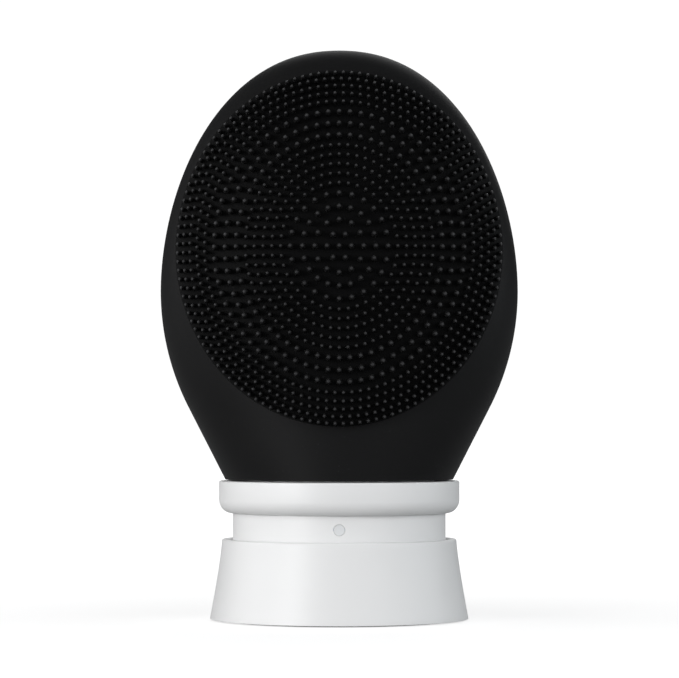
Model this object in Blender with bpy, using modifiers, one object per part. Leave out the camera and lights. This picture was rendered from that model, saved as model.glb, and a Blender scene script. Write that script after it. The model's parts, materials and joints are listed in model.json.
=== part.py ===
"""Skin scrubber: a silicone-covered sonic head on a white neck, resting in its charging stand.

Metres, +Z up. The origin is under the middle of the stand, on the surface it stands on.
The touch points face -Y, and +X is to the right of someone who faces them.
"""

import math

import bmesh
import bpy
from mathutils import Vector

MM = 0.001

# Fits, and how far a helper sinks into the piece that it joins
FIT_GAP = 0.3 * MM
JOIN_DEPTH = 0.5 * MM
FACE_SLIP = 0.01 * MM

# Stand, from the foot up
PLATE_BOTTOM = 0.9 * MM
PLATE_THICKNESS = 2.0 * MM
STAND_BOARD_THICKNESS = 1.0 * MM
INLET_HEIGHT = 3.2 * MM
INLET_WIDTH = 8.9 * MM
INLET_LENGTH = 7.3 * MM
INLET_SKIN = 0.35 * MM
INLET_BACK_WALL = 1.0 * MM
INLET_RECESS = 1.6 * MM
INLET_HEADROOM = 0.4 * MM
TONGUE_WIDTH = 6.4 * MM
TONGUE_THICKNESS = 0.7 * MM
TONGUE_RECESS = 1.2 * MM
WELL_FLOOR_THICKNESS = 1.4 * MM
WELL_DEPTH = 8.6 * MM
SKIRT_BOTTOM = 0.3 * MM
SKIRT_WALL = 1.6 * MM
SKIRT_FLARE = 2.7 * MM
FLARE_POWER = 1.25
RIM_WALL = 1.7 * MM
RIM_ROUND = 0.4 * MM
PLATE_INSET = 1.8 * MM
STAND_BOSS_RADIUS = 3.0 * MM
STAND_BOSS_INSET = 8.4 * MM
STAND_PILOT_ROOF = 1.2 * MM
STAND_BOARD_HALF_WIDTH = 9.0 * MM
STAND_BOARD_CLEARANCE = 1.0 * MM
STAND_BOARD_INSET = 4.5 * MM
FOOT_HEIGHT = 1.1 * MM
FOOT_WIDTH = 2.4 * MM
FOOT_INSET = 2.7 * MM

# Charging coils, one in the stand and one in the neck
COIL_RADIUS = 12.0 * MM
COIL_BORE = 6.0 * MM
COIL_THICKNESS = 0.7 * MM
FERRITE_RADIUS = 13.0 * MM
FERRITE_THICKNESS = 0.6 * MM

# Neck and collar
NECK_RADIUS = 23.8 * MM
NECK_WALL = 3.0 * MM
NECK_SHOW = 5.8 * MM
WELL_CLEARANCE = 0.7 * MM
CAP_THICKNESS = 1.6 * MM
CAP_LEDGE = 1.0 * MM
COLLAR_WALL = 2.8 * MM
COLLAR_HEIGHT = 7.2 * MM
COLLAR_ROUND_HEIGHT = 3.0 * MM
COLLAR_LIP = 1.4 * MM
SPIGOT_HEIGHT = 8.9 * MM
SPIGOT_GAP = 0.4 * MM
SPIGOT_WALL = 3.5 * MM
SHOULDER_HEIGHT = 3.0 * MM
GASKET_THICKNESS = 0.6 * MM
LIGHT_PIPE_RADIUS = 1.2 * MM
LIGHT_PIPE_BEND = 1.4 * MM
LIGHT_OVER_RIM = 2.7 * MM
LAMP_WIDTH = 1.6 * MM
LAMP_HEIGHT = 0.8 * MM
LAMP_INSET = 1.6 * MM
CHARGING_BOARD_THICKNESS = 1.0 * MM
CHARGING_BOARD_MARGIN = 1.3 * MM
BOARD_SPACER = 0.8 * MM

# Head
HEAD_HALF_WIDTH = 40.0 * MM
HEAD_HALF_DEPTH = 24.2 * MM
HEAD_HEIGHT = 96.0 * MM
HEAD_WIDEST_UP = 42.1 * MM
FLANK_ARC_HEIGHT = 26.0 * MM
CROWN_RISE_POWER = 1.89
CROWN_WIDTH_POWER = 2.2
SECTION_POWER = 2.25
DEPTH_POWER = 2.5
SLEEVE_WALL = 1.6 * MM
SHELL_WALL = 1.8 * MM
SHELL_SPLIT = 0.3 * MM
MOUTH_TRIM = 1.5 * MM

# Touch-point field, as the block that the points fill
FIELD_SIDE_MARGIN = 3.0 * MM
FIELD_TOP_MARGIN = 5.4 * MM
FIELD_FOOT_MARGIN = 11.4 * MM
FIELD_HEIGHT = 3.6 * MM
FIELD_ROOT = 0.8 * MM

# Works inside
BATTERY_RADIUS = 7.0 * MM
BATTERY_LENGTH = 50.0 * MM
BATTERY_NUB_RADIUS = 2.8 * MM
BATTERY_NUB_HEIGHT = 1.2 * MM
CHASSIS_FRONT = 3.0 * MM
CHASSIS_THICKNESS = 2.0 * MM
CHASSIS_HALF_WIDTH = 15.0 * MM
CHASSIS_FOOT_GAP = 2.0 * MM
CHASSIS_OVER_MOTOR = 10.0 * MM
CHASSIS_OVER_SPIGOT = 1.0 * MM
CHASSIS_NECK_MARGIN = 3.0 * MM
SADDLE_WALL = 1.7 * MM
SADDLE_HEIGHT = 4.0 * MM
LOWER_SADDLE_INSET = 8.0 * MM
UPPER_SADDLE_INSET = 10.0 * MM
MOTOR_RADIUS = 6.0 * MM
MOTOR_LENGTH = 20.0 * MM
MOTOR_WALL = 0.6 * MM
MOTOR_ROOF = 1.0 * MM
MOTOR_END_PLAY = 1.0 * MM
MOTOR_CAP_HEIGHT = 2.0 * MM
MOTOR_OVER_BATTERY = 8.0 * MM
MAGNET_WALL = 1.0 * MM
AIR_GAP = 0.5 * MM
SHAFT_RADIUS = 0.75 * MM
WEIGHT_RADIUS = 5.0 * MM
WEIGHT_HEIGHT = 6.5 * MM
WEIGHT_STANDOFF = 2.5 * MM
WEIGHT_FLAT_INSET = 1.65 * MM
WEIGHT_BORE_GAP = 0.05 * MM
SHAFT_SHOW = 0.8 * MM
BRACKET_WALL = 2.2 * MM
BRACKET_HEIGHT = 12.0 * MM
EAR_THICKNESS = 3.0 * MM
EAR_HEIGHT = 8.0 * MM
MAIN_BOARD_THICKNESS = 1.2 * MM
MAIN_BOARD_HALF_WIDTH = 12.5 * MM
BOARD_FROM_BOSS = 5.0 * MM
BOARD_POST_RADIUS = 1.5 * MM
BOARD_POST_INSET = 3.0 * MM
SWITCH_HEIGHT = 3.0 * MM
SWITCH_WIDTH = 6.0 * MM
SWITCH_FLOOR = 0.4 * MM
PLUNGER_RADIUS = 1.5 * MM
PLUNGER_LENGTH = 2.7 * MM
PLUNGER_SHOW = 1.2 * MM
LEAD_RADIUS = 0.6 * MM
LEAD_BEND = 1.0 * MM
LEAD_CLEARANCE = 2.0 * MM

# Power button
BUTTON_OVER_BOSS = 13.0 * MM
BUTTON_RADIUS = 6.6 * MM
BUTTON_FLANGE = 1.8 * MM
BUTTON_FLANGE_THICKNESS = 1.4 * MM
BUTTON_BACKLASH = 0.3 * MM
BUTTON_STEM_RADIUS = 2.0 * MM
BUTTON_STEM = 2.2 * MM
BUTTON_DOME = 0.2 * MM

# Screws
SCREW_RADIUS = 1.1 * MM
SCREW_HEAD_RADIUS = 2.1 * MM
SCREW_HEAD_HEIGHT = 1.0 * MM
SCREW_EDGE = 4.0 * MM
SCREW_TIP_GAP = 0.4 * MM
SHELL_SCREW_GRIP = 6.0 * MM
SHELL_PILOT_DEPTH = 7.0 * MM
BOSS_RADIUS = 2.6 * MM
BOSS_OVER_SPIGOT = 8.0 * MM

# Facets
TURN_STEPS = 36
SMALL_STEPS = 14
HEAD_SEGMENTS = 40
FIELD_RINGS = 4
LEAD_POINTS = 12

# Directions that a piece made along local Z is turned to
ALONG_Y = (-math.pi / 2, 0, 0)
FACING_FRONT = (math.pi / 2, 0, 0)
POINTING_DOWN = (math.pi, 0, 0)

# Heights that follow
PLATE_TOP = PLATE_BOTTOM + PLATE_THICKNESS
STAND_BOARD_TOP = PLATE_TOP + FIT_GAP + STAND_BOARD_THICKNESS
INLET_BOTTOM = STAND_BOARD_TOP + FIT_GAP
WELL_UNDERSIDE = INLET_BOTTOM + INLET_HEIGHT + INLET_HEADROOM
WELL_FLOOR = WELL_UNDERSIDE + WELL_FLOOR_THICKNESS
RIM_TOP = WELL_FLOOR + WELL_DEPTH
NECK_BOTTOM = WELL_FLOOR + FIT_GAP
COLLAR_BOTTOM = RIM_TOP + NECK_SHOW
COLLAR_TOP = COLLAR_BOTTOM + COLLAR_HEIGHT
MOUTH_Z = COLLAR_TOP + FIT_GAP
HEAD_TOP = MOUTH_Z + HEAD_HEIGHT
WIDEST_Z = MOUTH_Z + HEAD_WIDEST_UP
FIELD_BOTTOM = MOUTH_Z + FIELD_FOOT_MARGIN
FIELD_TOP = HEAD_TOP - FIELD_TOP_MARGIN
FIELD_Z = (FIELD_BOTTOM + FIELD_TOP) / 2
FIELD_HALF_HEIGHT = (FIELD_TOP - FIELD_BOTTOM) / 2
SPIGOT_TOP = COLLAR_TOP + SPIGOT_HEIGHT
CAP_TOP = NECK_BOTTOM + CAP_THICKNESS
NECK_COIL_BOTTOM = CAP_TOP + 2 * FIT_GAP
NECK_FERRITE_BOTTOM = NECK_COIL_BOTTOM + COIL_THICKNESS + FIT_GAP
CHARGING_BOARD_BOTTOM = NECK_FERRITE_BOTTOM + FERRITE_THICKNESS + BOARD_SPACER
CHARGING_BOARD_TOP = CHARGING_BOARD_BOTTOM + CHARGING_BOARD_THICKNESS
BATTERY_BOTTOM = CHARGING_BOARD_TOP + BOARD_SPACER
BATTERY_TOP = BATTERY_BOTTOM + BATTERY_LENGTH
MOTOR_BOTTOM = BATTERY_TOP + MOTOR_OVER_BATTERY
MOTOR_TOP = MOTOR_BOTTOM + MOTOR_LENGTH
WEIGHT_BOTTOM = MOTOR_TOP + WEIGHT_STANDOFF
WEIGHT_TOP = WEIGHT_BOTTOM + WEIGHT_HEIGHT
CHASSIS_BOTTOM = BATTERY_BOTTOM + CHASSIS_FOOT_GAP
CHASSIS_TOP = MOTOR_TOP + CHASSIS_OVER_MOTOR
LOWER_BOSS_Z = SPIGOT_TOP + BOSS_OVER_SPIGOT
UPPER_BOSS_Z = CHASSIS_TOP - SCREW_EDGE
MAIN_BOARD_BOTTOM = LOWER_BOSS_Z + BOARD_FROM_BOSS
MAIN_BOARD_TOP = UPPER_BOSS_Z - BOARD_FROM_BOSS
BUTTON_Z = LOWER_BOSS_Z + BUTTON_OVER_BOSS
LIGHT_Z = RIM_TOP + LIGHT_OVER_RIM

# Radii that follow
WELL_RADIUS = NECK_RADIUS + WELL_CLEARANCE
RIM_RADIUS = WELL_RADIUS + RIM_WALL
FOOT_RADIUS = RIM_RADIUS + SKIRT_FLARE
PLATE_RADIUS = FOOT_RADIUS - PLATE_INSET
FOOT_OUTER = FOOT_RADIUS - FOOT_INSET
FOOT_INNER = FOOT_OUTER - FOOT_WIDTH
STAND_BOSS_CIRCLE = FOOT_RADIUS - STAND_BOSS_INSET
NECK_BORE = NECK_RADIUS - NECK_WALL
CAP_RADIUS = NECK_BORE + CAP_LEDGE - FIT_GAP
CHARGING_BOARD_RADIUS = NECK_BORE - CHARGING_BOARD_MARGIN
LIGHT_Y = LAMP_INSET - CHARGING_BOARD_RADIUS
COLLAR_BORE = NECK_RADIUS + FIT_GAP
COLLAR_RADIUS = COLLAR_BORE + COLLAR_WALL
MOUTH_RADIUS = COLLAR_RADIUS - COLLAR_LIP
SHELL_INSET = SLEEVE_WALL + FIT_GAP
SHELL_BORE_INSET = SHELL_INSET + SHELL_WALL
FIELD_HALF_WIDTH = HEAD_HALF_WIDTH - FIELD_SIDE_MARGIN
SCREW_HOLE = SCREW_RADIUS + FIT_GAP
BUTTON_HOLE = BUTTON_RADIUS + FIT_GAP

# Depths that follow
CHASSIS_REAR = CHASSIS_FRONT + CHASSIS_THICKNESS
SCREW_X = CHASSIS_HALF_WIDTH - SCREW_EDGE
BATTERY_Y = CHASSIS_FRONT - FIT_GAP - BATTERY_RADIUS
BRACKET_BORE = MOTOR_RADIUS + FIT_GAP
BRACKET_REAR = CHASSIS_FRONT - FIT_GAP
MOTOR_Y = BRACKET_REAR - BRACKET_WALL - BRACKET_BORE
INLET_MOUTH = FOOT_RADIUS - INLET_RECESS


# ---------------------------------------------------------------- outline of the head


def flank_angle():
    """Slope of the straight lower flank, which the arc above it meets smoothly."""
    drop = HEAD_HALF_WIDTH - MOUTH_RADIUS
    straight = HEAD_WIDEST_UP - FLANK_ARC_HEIGHT
    low, high = 0.0, math.radians(80)
    for _ in range(50):
        angle = (low + high) / 2
        reach = FLANK_ARC_HEIGHT * math.tan(angle / 2) + straight * math.tan(angle)
        if reach < drop:
            low = angle
        else:
            high = angle
    return angle


def head_half_width(z):
    """Half-width of the head at height z: a round crown, and an arc and a line below it."""
    if z >= WIDEST_Z:
        rise = (z - WIDEST_Z) / (HEAD_TOP - WIDEST_Z)
        crown = max(0.0, 1 - rise**CROWN_RISE_POWER)
        return HEAD_HALF_WIDTH * crown ** (1 / CROWN_WIDTH_POWER)
    angle = flank_angle()
    arc_radius = FLANK_ARC_HEIGHT / math.sin(angle)
    below = WIDEST_Z - z
    if below <= FLANK_ARC_HEIGHT:
        return HEAD_HALF_WIDTH - arc_radius + math.sqrt(arc_radius**2 - below**2)
    return MOUTH_RADIUS + (z - MOUTH_Z) * math.tan(angle)


def head_half_depth(z):
    """Half-depth of the head at height z, which runs from the round mouth to the blunt top."""
    if z >= WIDEST_Z:
        rise = (z - WIDEST_Z) / (HEAD_TOP - WIDEST_Z)
        return HEAD_HALF_DEPTH * max(0.0, 1 - rise**DEPTH_POWER) ** (1 / DEPTH_POWER)
    fall = min(1.0, (WIDEST_Z - z) / HEAD_WIDEST_UP)
    return HEAD_HALF_DEPTH + (MOUTH_RADIUS - HEAD_HALF_DEPTH) * fall**2 * (3 - 2 * fall)


def section_power(z):
    """Squareness of the head's section: a plain ellipse at the mouth, fuller higher up."""
    blend = min(1.0, max(0.0, (z - MOUTH_Z) / HEAD_WIDEST_UP))
    return 2 + (SECTION_POWER - 2) * blend


def head_surface_depth(x, z):
    """Distance of the head's outer surface from the XZ plane at (x, z)."""
    power = section_power(z)
    share = min(1.0, abs(x) / head_half_width(z))
    return head_half_depth(z) * (1 - share**power) ** (1 / power)


def section_ring(z):
    """Points round the head at height z."""
    power = section_power(z)
    ring = []
    for step in range(HEAD_SEGMENTS):
        angle = 2 * math.pi * step / HEAD_SEGMENTS
        cosine, sine = math.cos(angle), math.sin(angle)
        x = math.copysign(abs(cosine) ** (2 / power), cosine) * head_half_width(z)
        y = math.copysign(abs(sine) ** (2 / power), sine) * head_half_depth(z)
        ring.append(Vector((x, y, z)))
    return ring


def head_levels():
    """Heights of the sections: even steps from just below the mouth, closer towards the top."""
    flank_steps = 5
    flank = HEAD_WIDEST_UP + MOUTH_TRIM
    levels = [WIDEST_Z - flank * (1 - step / flank_steps) for step in range(flank_steps + 1)]
    for degrees in (14, 28, 41, 53, 64, 74, 82):
        levels.append(WIDEST_Z + (HEAD_TOP - WIDEST_Z) * math.sin(math.radians(degrees)))
    return levels


def least_depth(x, z, radius):
    """Smallest depth of the head's outer surface round the rim of a disc at (x, z)."""
    turns = [math.radians(degrees) for degrees in range(0, 360, 30)]
    return min(
        head_surface_depth(x + radius * math.cos(turn), z + radius * math.sin(turn))
        for turn in turns
    )


# The spigot clears the shells all the way up, where the head may be shallower than its mouth
SPIGOT_CLEAR_RADIUS = min(MOUTH_RADIUS, head_half_depth(SPIGOT_TOP)) - SHELL_BORE_INSET
SPIGOT_RADIUS = SPIGOT_CLEAR_RADIUS - SPIGOT_GAP
SPIGOT_BORE = SPIGOT_RADIUS - SPIGOT_WALL
CHASSIS_NECK_HALF_WIDTH = SPIGOT_BORE - CHASSIS_NECK_MARGIN


# ---------------------------------------------------------------- tools


def clear_scene():
    for old in list(bpy.data.objects):
        bpy.data.objects.remove(old)


def new_collection(name):
    made = bpy.data.collections.new(name)
    bpy.context.scene.collection.children.link(made)
    return made


clear_scene()
PARTS = new_collection("skin_scrubber")
CUTTERS = new_collection("cutters")


def material(name, color, roughness, metallic=0.0):
    made = bpy.data.materials.new(name)
    made.use_nodes = True
    shader = made.node_tree.nodes["Principled BSDF"]
    shader.inputs["Base Color"].default_value = (*color, 1.0)
    shader.inputs["Roughness"].default_value = roughness
    shader.inputs["Metallic"].default_value = metallic
    made.diffuse_color = (*color, 1.0)
    return made


WHITE_ABS = material("white_abs", (0.80, 0.80, 0.80), 0.35)
BLACK_SILICONE = material("black_silicone", (0.013, 0.013, 0.014), 0.55)
BLACK_ABS = material("black_abs", (0.02, 0.02, 0.02), 0.4)
GREY_ABS = material("grey_abs", (0.25, 0.26, 0.27), 0.5)
RUBBER = material("rubber", (0.05, 0.05, 0.05), 0.8)
STEEL = material("steel", (0.62, 0.62, 0.63), 0.3, 1.0)
COPPER = material("copper", (0.75, 0.38, 0.20), 0.35, 1.0)
FERRITE = material("ferrite", (0.06, 0.06, 0.065), 0.7)
BOARD_GREEN = material("board_green", (0.02, 0.16, 0.07), 0.45)
CELL_WRAP = material("cell_wrap", (0.04, 0.16, 0.42), 0.35)
LENS = material("lens", (0.85, 0.87, 0.88), 0.2)
LEAD_RED = material("lead_red", (0.55, 0.02, 0.02), 0.5)
LEAD_BLACK = material("lead_black", (0.02, 0.02, 0.02), 0.5)


def empty(name, location, parent=None):
    made = bpy.data.objects.new(name, None)
    made.location = location
    made.parent = parent
    PARTS.objects.link(made)
    return made


def add_part(name, mesh, finish, location=(0, 0, 0), rotation=(0, 0, 0), parent=None):
    """A named sub-part with its material."""
    made = bpy.data.objects.new(name, mesh)
    mesh.materials.clear()
    mesh.materials.append(finish)
    made.location = location
    made.rotation_euler = rotation
    made.parent = parent
    PARTS.objects.link(made)
    return made


def add_cutter(name, mesh, location=(0, 0, 0), rotation=(0, 0, 0), parent=None):
    """A helper that a Boolean takes away or adds, which no one sees."""
    made = bpy.data.objects.new(name, mesh)
    made.location = location
    made.rotation_euler = rotation
    made.parent = parent
    made.hide_render = True
    made.display_type = "WIRE"
    CUTTERS.objects.link(made)
    return made


def mesh_from(name, bm, smooth=True):
    bmesh.ops.recalc_face_normals(bm, faces=bm.faces)
    mesh = bpy.data.meshes.new(name)
    bm.to_mesh(mesh)
    bm.free()
    if smooth:
        mesh.shade_smooth()
        mesh.set_sharp_from_angle(angle=math.radians(35))
    return mesh


def block_mesh(name, low, high):
    """A box between two corners."""
    low, high = Vector(low), Vector(high)
    bm = bmesh.new()
    bmesh.ops.create_cube(bm, size=1.0)
    bmesh.ops.scale(bm, vec=high - low, verts=bm.verts)
    bmesh.ops.translate(bm, vec=(high + low) / 2, verts=bm.verts)
    return mesh_from(name, bm, smooth=False)


def rod_mesh(name, radius, bottom, top, steps=SMALL_STEPS):
    """A cylinder along local Z."""
    bm = bmesh.new()
    bmesh.ops.create_cone(
        bm, cap_ends=True, segments=steps, radius1=radius, radius2=radius, depth=top - bottom
    )
    bmesh.ops.translate(bm, vec=(0, 0, (top + bottom) / 2), verts=bm.verts)
    return mesh_from(name, bm)


def turned_part(name, profile, finish, steps=TURN_STEPS, closed=True, **place):
    """A profile of (radius, height) points, outer side first and downwards, turned about Z."""
    mesh = bpy.data.meshes.new(name)
    points = [(radius, 0, height) for radius, height in profile]
    edges = [(i, i + 1) for i in range(len(points) - 1)]
    if closed:
        edges.append((len(points) - 1, 0))
    mesh.from_pydata(points, edges, [])
    made = add_part(name, mesh, finish, **place)
    turn = made.modifiers.new("turn", "SCREW")
    turn.axis = "Z"
    turn.angle = 2 * math.pi
    turn.steps = turn.render_steps = steps
    turn.use_merge_vertices = True
    turn.merge_threshold = 0.00001
    turn.use_smooth_shade = True
    return made


def ring_profile(inner, outer, bottom, top):
    return [(outer, top), (outer, bottom), (inner, bottom), (inner, top)]


def arc_points(centre, radii, start, end, count):
    """Points on an elliptical arc from start to end degrees."""
    points = []
    for step in range(count + 1):
        angle = math.radians(start + (end - start) * step / count)
        points.append(
            (centre[0] + radii[0] * math.cos(angle), centre[1] + radii[1] * math.sin(angle))
        )
    return points


def boolean(target, helper, operation):
    change = target.modifiers.new(f"{operation.lower()} {helper.name}", "BOOLEAN")
    change.object = helper
    change.operation = operation
    change.solver = "EXACT"


def cut(target, helper):
    boolean(target, helper, "DIFFERENCE")


def join(target, helper):
    boolean(target, helper, "UNION")


def screw(name, length, location, rotation, parent):
    """A pan-head screw whose head stands on its origin and whose shank runs down local Z."""
    profile = [
        (0, SCREW_HEAD_HEIGHT),
        (SCREW_HEAD_RADIUS * 0.8, SCREW_HEAD_HEIGHT),
        (SCREW_HEAD_RADIUS, SCREW_HEAD_HEIGHT * 0.5),
        (SCREW_HEAD_RADIUS, 0),
        (SCREW_RADIUS, 0),
        (SCREW_RADIUS, SCREW_RADIUS - length),
        (0, -length),
    ]
    return turned_part(
        name, profile, STEEL, SMALL_STEPS, False, location=location, rotation=rotation, parent=parent
    )


# ---------------------------------------------------------------- stand


def skirt_radius(z):
    """Radius of the skirt, which flares from the rim to the foot."""
    fall = (RIM_TOP - z) / (RIM_TOP - SKIRT_BOTTOM)
    return RIM_RADIUS + SKIRT_FLARE * fall**FLARE_POWER


def stand_shell(stand):
    """Skirt, rim and well in one moulding, with bosses for the screws and a mouth for the inlet."""
    well_round = 0.6 * MM
    flare_steps = 6
    flare_top = RIM_TOP - RIM_ROUND
    profile = [(0, WELL_FLOOR), (WELL_RADIUS - well_round, WELL_FLOOR)]
    profile += [(WELL_RADIUS, WELL_FLOOR + well_round)]
    profile += arc_points(
        (WELL_RADIUS + RIM_ROUND, flare_top), (RIM_ROUND, RIM_ROUND), 180, 90, 2
    )
    profile += arc_points((RIM_RADIUS - RIM_ROUND, flare_top), (RIM_ROUND, RIM_ROUND), 90, 0, 2)
    for step in range(1, flare_steps + 1):
        z = flare_top + (SKIRT_BOTTOM - flare_top) * step / flare_steps
        profile.append((skirt_radius(z), z))
    ledge = PLATE_TOP + FIT_GAP
    profile += [
        (PLATE_RADIUS + FIT_GAP, SKIRT_BOTTOM),
        (PLATE_RADIUS + FIT_GAP, ledge),
        (skirt_radius(ledge) - SKIRT_WALL, ledge),
        (skirt_radius(WELL_UNDERSIDE) - SKIRT_WALL, WELL_UNDERSIDE),
        (0, WELL_UNDERSIDE),
    ]
    shell = turned_part("stand_shell", profile, WHITE_ABS, closed=False, parent=stand)
    pilot_top = WELL_UNDERSIDE - STAND_PILOT_ROOF
    for number, (x, y) in enumerate(stand_screw_places(), 1):
        boss = rod_mesh("boss", STAND_BOSS_RADIUS, ledge, WELL_UNDERSIDE + JOIN_DEPTH)
        join(shell, add_cutter(f"stand_boss_{number}", boss, (x, y, 0)))
        pilot = rod_mesh("pilot", SCREW_HOLE, PLATE_TOP - FIT_GAP, pilot_top)
        cut(shell, add_cutter(f"stand_pilot_{number}", pilot, (x, y, 0)))
    half_width = INLET_WIDTH / 2 + FIT_GAP
    mouth = block_mesh(
        "inlet_mouth",
        (-half_width, INLET_MOUTH - INLET_LENGTH, INLET_BOTTOM - FIT_GAP / 2),
        (half_width, FOOT_RADIUS + SKIRT_WALL, INLET_BOTTOM + INLET_HEIGHT + FIT_GAP / 2),
    )
    cut(shell, add_cutter("inlet_mouth", mouth))


def stand_screw_places():
    places = []
    for degrees in (30, 150, 270):
        angle = math.radians(degrees)
        places.append(
            (STAND_BOSS_CIRCLE * math.cos(angle), STAND_BOSS_CIRCLE * math.sin(angle))
        )
    return places


def stand_base(stand):
    """Base plate with its rubber foot ring and screws, closing the stand from below."""
    groove = FIT_GAP / 2
    groove_top = FOOT_HEIGHT + FIT_GAP
    profile = [
        (0, PLATE_TOP),
        (PLATE_RADIUS, PLATE_TOP),
        (PLATE_RADIUS, PLATE_BOTTOM),
        (FOOT_OUTER + groove, PLATE_BOTTOM),
        (FOOT_OUTER + groove, groove_top),
        (FOOT_INNER - groove, groove_top),
        (FOOT_INNER - groove, PLATE_BOTTOM),
        (0, PLATE_BOTTOM),
    ]
    plate = turned_part("stand_base_plate", profile, WHITE_ABS, closed=False, parent=stand)
    seat = PLATE_BOTTOM + SCREW_HEAD_HEIGHT + FIT_GAP
    for number, (x, y) in enumerate(stand_screw_places(), 1):
        hole = rod_mesh("hole", SCREW_HOLE, 0, PLATE_TOP + FIT_GAP)
        cut(plate, add_cutter(f"plate_hole_{number}", hole, (x, y, 0)))
        sink = rod_mesh("sink", SCREW_HEAD_RADIUS + FIT_GAP, 0, seat)
        cut(plate, add_cutter(f"plate_sink_{number}", sink, (x, y, 0)))
        head_seat = seat - FIT_GAP / 2
        length = WELL_UNDERSIDE - STAND_PILOT_ROOF - SCREW_TIP_GAP - head_seat
        screw(f"stand_screw_{number}", length, (x, y, head_seat), POINTING_DOWN, stand)
    ring = ring_profile(FOOT_INNER, FOOT_OUTER, 0, FOOT_HEIGHT)
    turned_part("foot_ring", ring, RUBBER, parent=stand)


def stand_works(stand):
    """Charging board, transmitter coil on its ferrite, and the inlet socket."""
    front = STAND_BOSS_RADIUS + STAND_BOARD_CLEARANCE - STAND_BOSS_CIRCLE
    board = block_mesh(
        "stand_board",
        (-STAND_BOARD_HALF_WIDTH, front, STAND_BOARD_TOP - STAND_BOARD_THICKNESS),
        (STAND_BOARD_HALF_WIDTH, FOOT_RADIUS - STAND_BOARD_INSET, STAND_BOARD_TOP),
    )
    add_part("stand_board", board, BOARD_GREEN, parent=stand)
    coil_bottom = WELL_UNDERSIDE - FIT_GAP - COIL_THICKNESS
    coil = ring_profile(COIL_BORE, COIL_RADIUS, 0, COIL_THICKNESS)
    place = {"location": (0, 0, coil_bottom), "parent": stand}
    turned_part("transmitter_coil", coil, COPPER, TURN_STEPS, **place)
    plate = rod_mesh("transmitter_ferrite", FERRITE_RADIUS, 0, FERRITE_THICKNESS, TURN_STEPS)
    ferrite_bottom = coil_bottom - FIT_GAP - FERRITE_THICKNESS
    add_part("transmitter_ferrite", plate, FERRITE, (0, 0, ferrite_bottom), parent=stand)
    inlet_socket(stand)


def inlet_socket(stand):
    """A flat socket with a tongue inside, open to the rear."""
    half = INLET_WIDTH / 2
    back = INLET_MOUTH - INLET_LENGTH
    top = INLET_BOTTOM + INLET_HEIGHT
    body = block_mesh("charge_inlet", (-half, back, INLET_BOTTOM), (half, INLET_MOUTH, top))
    inlet = add_part("charge_inlet", body, STEEL, parent=stand)
    hollow = block_mesh(
        "inlet_hollow",
        (INLET_SKIN - half, back + INLET_BACK_WALL, INLET_BOTTOM + INLET_SKIN),
        (half - INLET_SKIN, INLET_MOUTH + MM, top - INLET_SKIN),
    )
    cut(inlet, add_cutter("inlet_hollow", hollow))
    middle = (INLET_BOTTOM + top) / 2
    tongue = block_mesh(
        "inlet_tongue",
        (-TONGUE_WIDTH / 2, back + JOIN_DEPTH, middle - TONGUE_THICKNESS / 2),
        (TONGUE_WIDTH / 2, INLET_MOUTH - TONGUE_RECESS, middle + TONGUE_THICKNESS / 2),
    )
    join(inlet, add_cutter("inlet_tongue", tongue))


# ---------------------------------------------------------------- neck


def neck(scrubber):
    """Neck tube that drops into the stand's well, with the spigot that the shells close round."""
    edge = 0.5 * MM
    profile = [
        (SPIGOT_RADIUS - edge, SPIGOT_TOP),
        (SPIGOT_RADIUS, SPIGOT_TOP - edge),
        (SPIGOT_RADIUS, COLLAR_TOP),
        (NECK_RADIUS, COLLAR_TOP),
        (NECK_RADIUS, NECK_BOTTOM + edge),
        (NECK_RADIUS - edge, NECK_BOTTOM),
        (NECK_BORE + CAP_LEDGE, NECK_BOTTOM),
        (NECK_BORE + CAP_LEDGE, CAP_TOP + FIT_GAP),
        (NECK_BORE, CAP_TOP + FIT_GAP),
        (NECK_BORE, COLLAR_TOP - SHOULDER_HEIGHT),
        (SPIGOT_BORE, COLLAR_TOP),
        (SPIGOT_BORE, SPIGOT_TOP),
    ]
    housing = turned_part("neck_housing", profile, WHITE_ABS, parent=scrubber)
    hole = rod_mesh("light_hole", LIGHT_PIPE_RADIUS + FIT_GAP, NECK_BORE - MM, NECK_RADIUS + MM)
    cut(housing, add_cutter("light_hole", hole, (0, 0, LIGHT_Z), FACING_FRONT))

    cap = rod_mesh("neck_cap", CAP_RADIUS, NECK_BOTTOM, CAP_TOP, TURN_STEPS)
    add_part("neck_cap", cap, WHITE_ABS, parent=scrubber)

    gasket_bottom = COLLAR_TOP + FIT_GAP
    gasket = ring_profile(
        SPIGOT_RADIUS + FIT_GAP,
        NECK_RADIUS - 2 * FIT_GAP,
        gasket_bottom,
        gasket_bottom + GASKET_THICKNESS,
    )
    turned_part("neck_gasket", gasket, RUBBER, parent=scrubber)


def collar(scrubber):
    """Ring below the head, square at its top edge and rounded in below."""
    edge = 0.3 * MM
    profile = [(COLLAR_BORE, COLLAR_TOP), (COLLAR_RADIUS - edge, COLLAR_TOP)]
    profile.append((COLLAR_RADIUS, COLLAR_TOP - edge))
    profile += arc_points(
        (COLLAR_BORE, COLLAR_BOTTOM + COLLAR_ROUND_HEIGHT),
        (COLLAR_WALL, COLLAR_ROUND_HEIGHT),
        0,
        -90,
        6,
    )
    turned_part("collar_ring", profile, WHITE_ABS, parent=scrubber)


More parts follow.
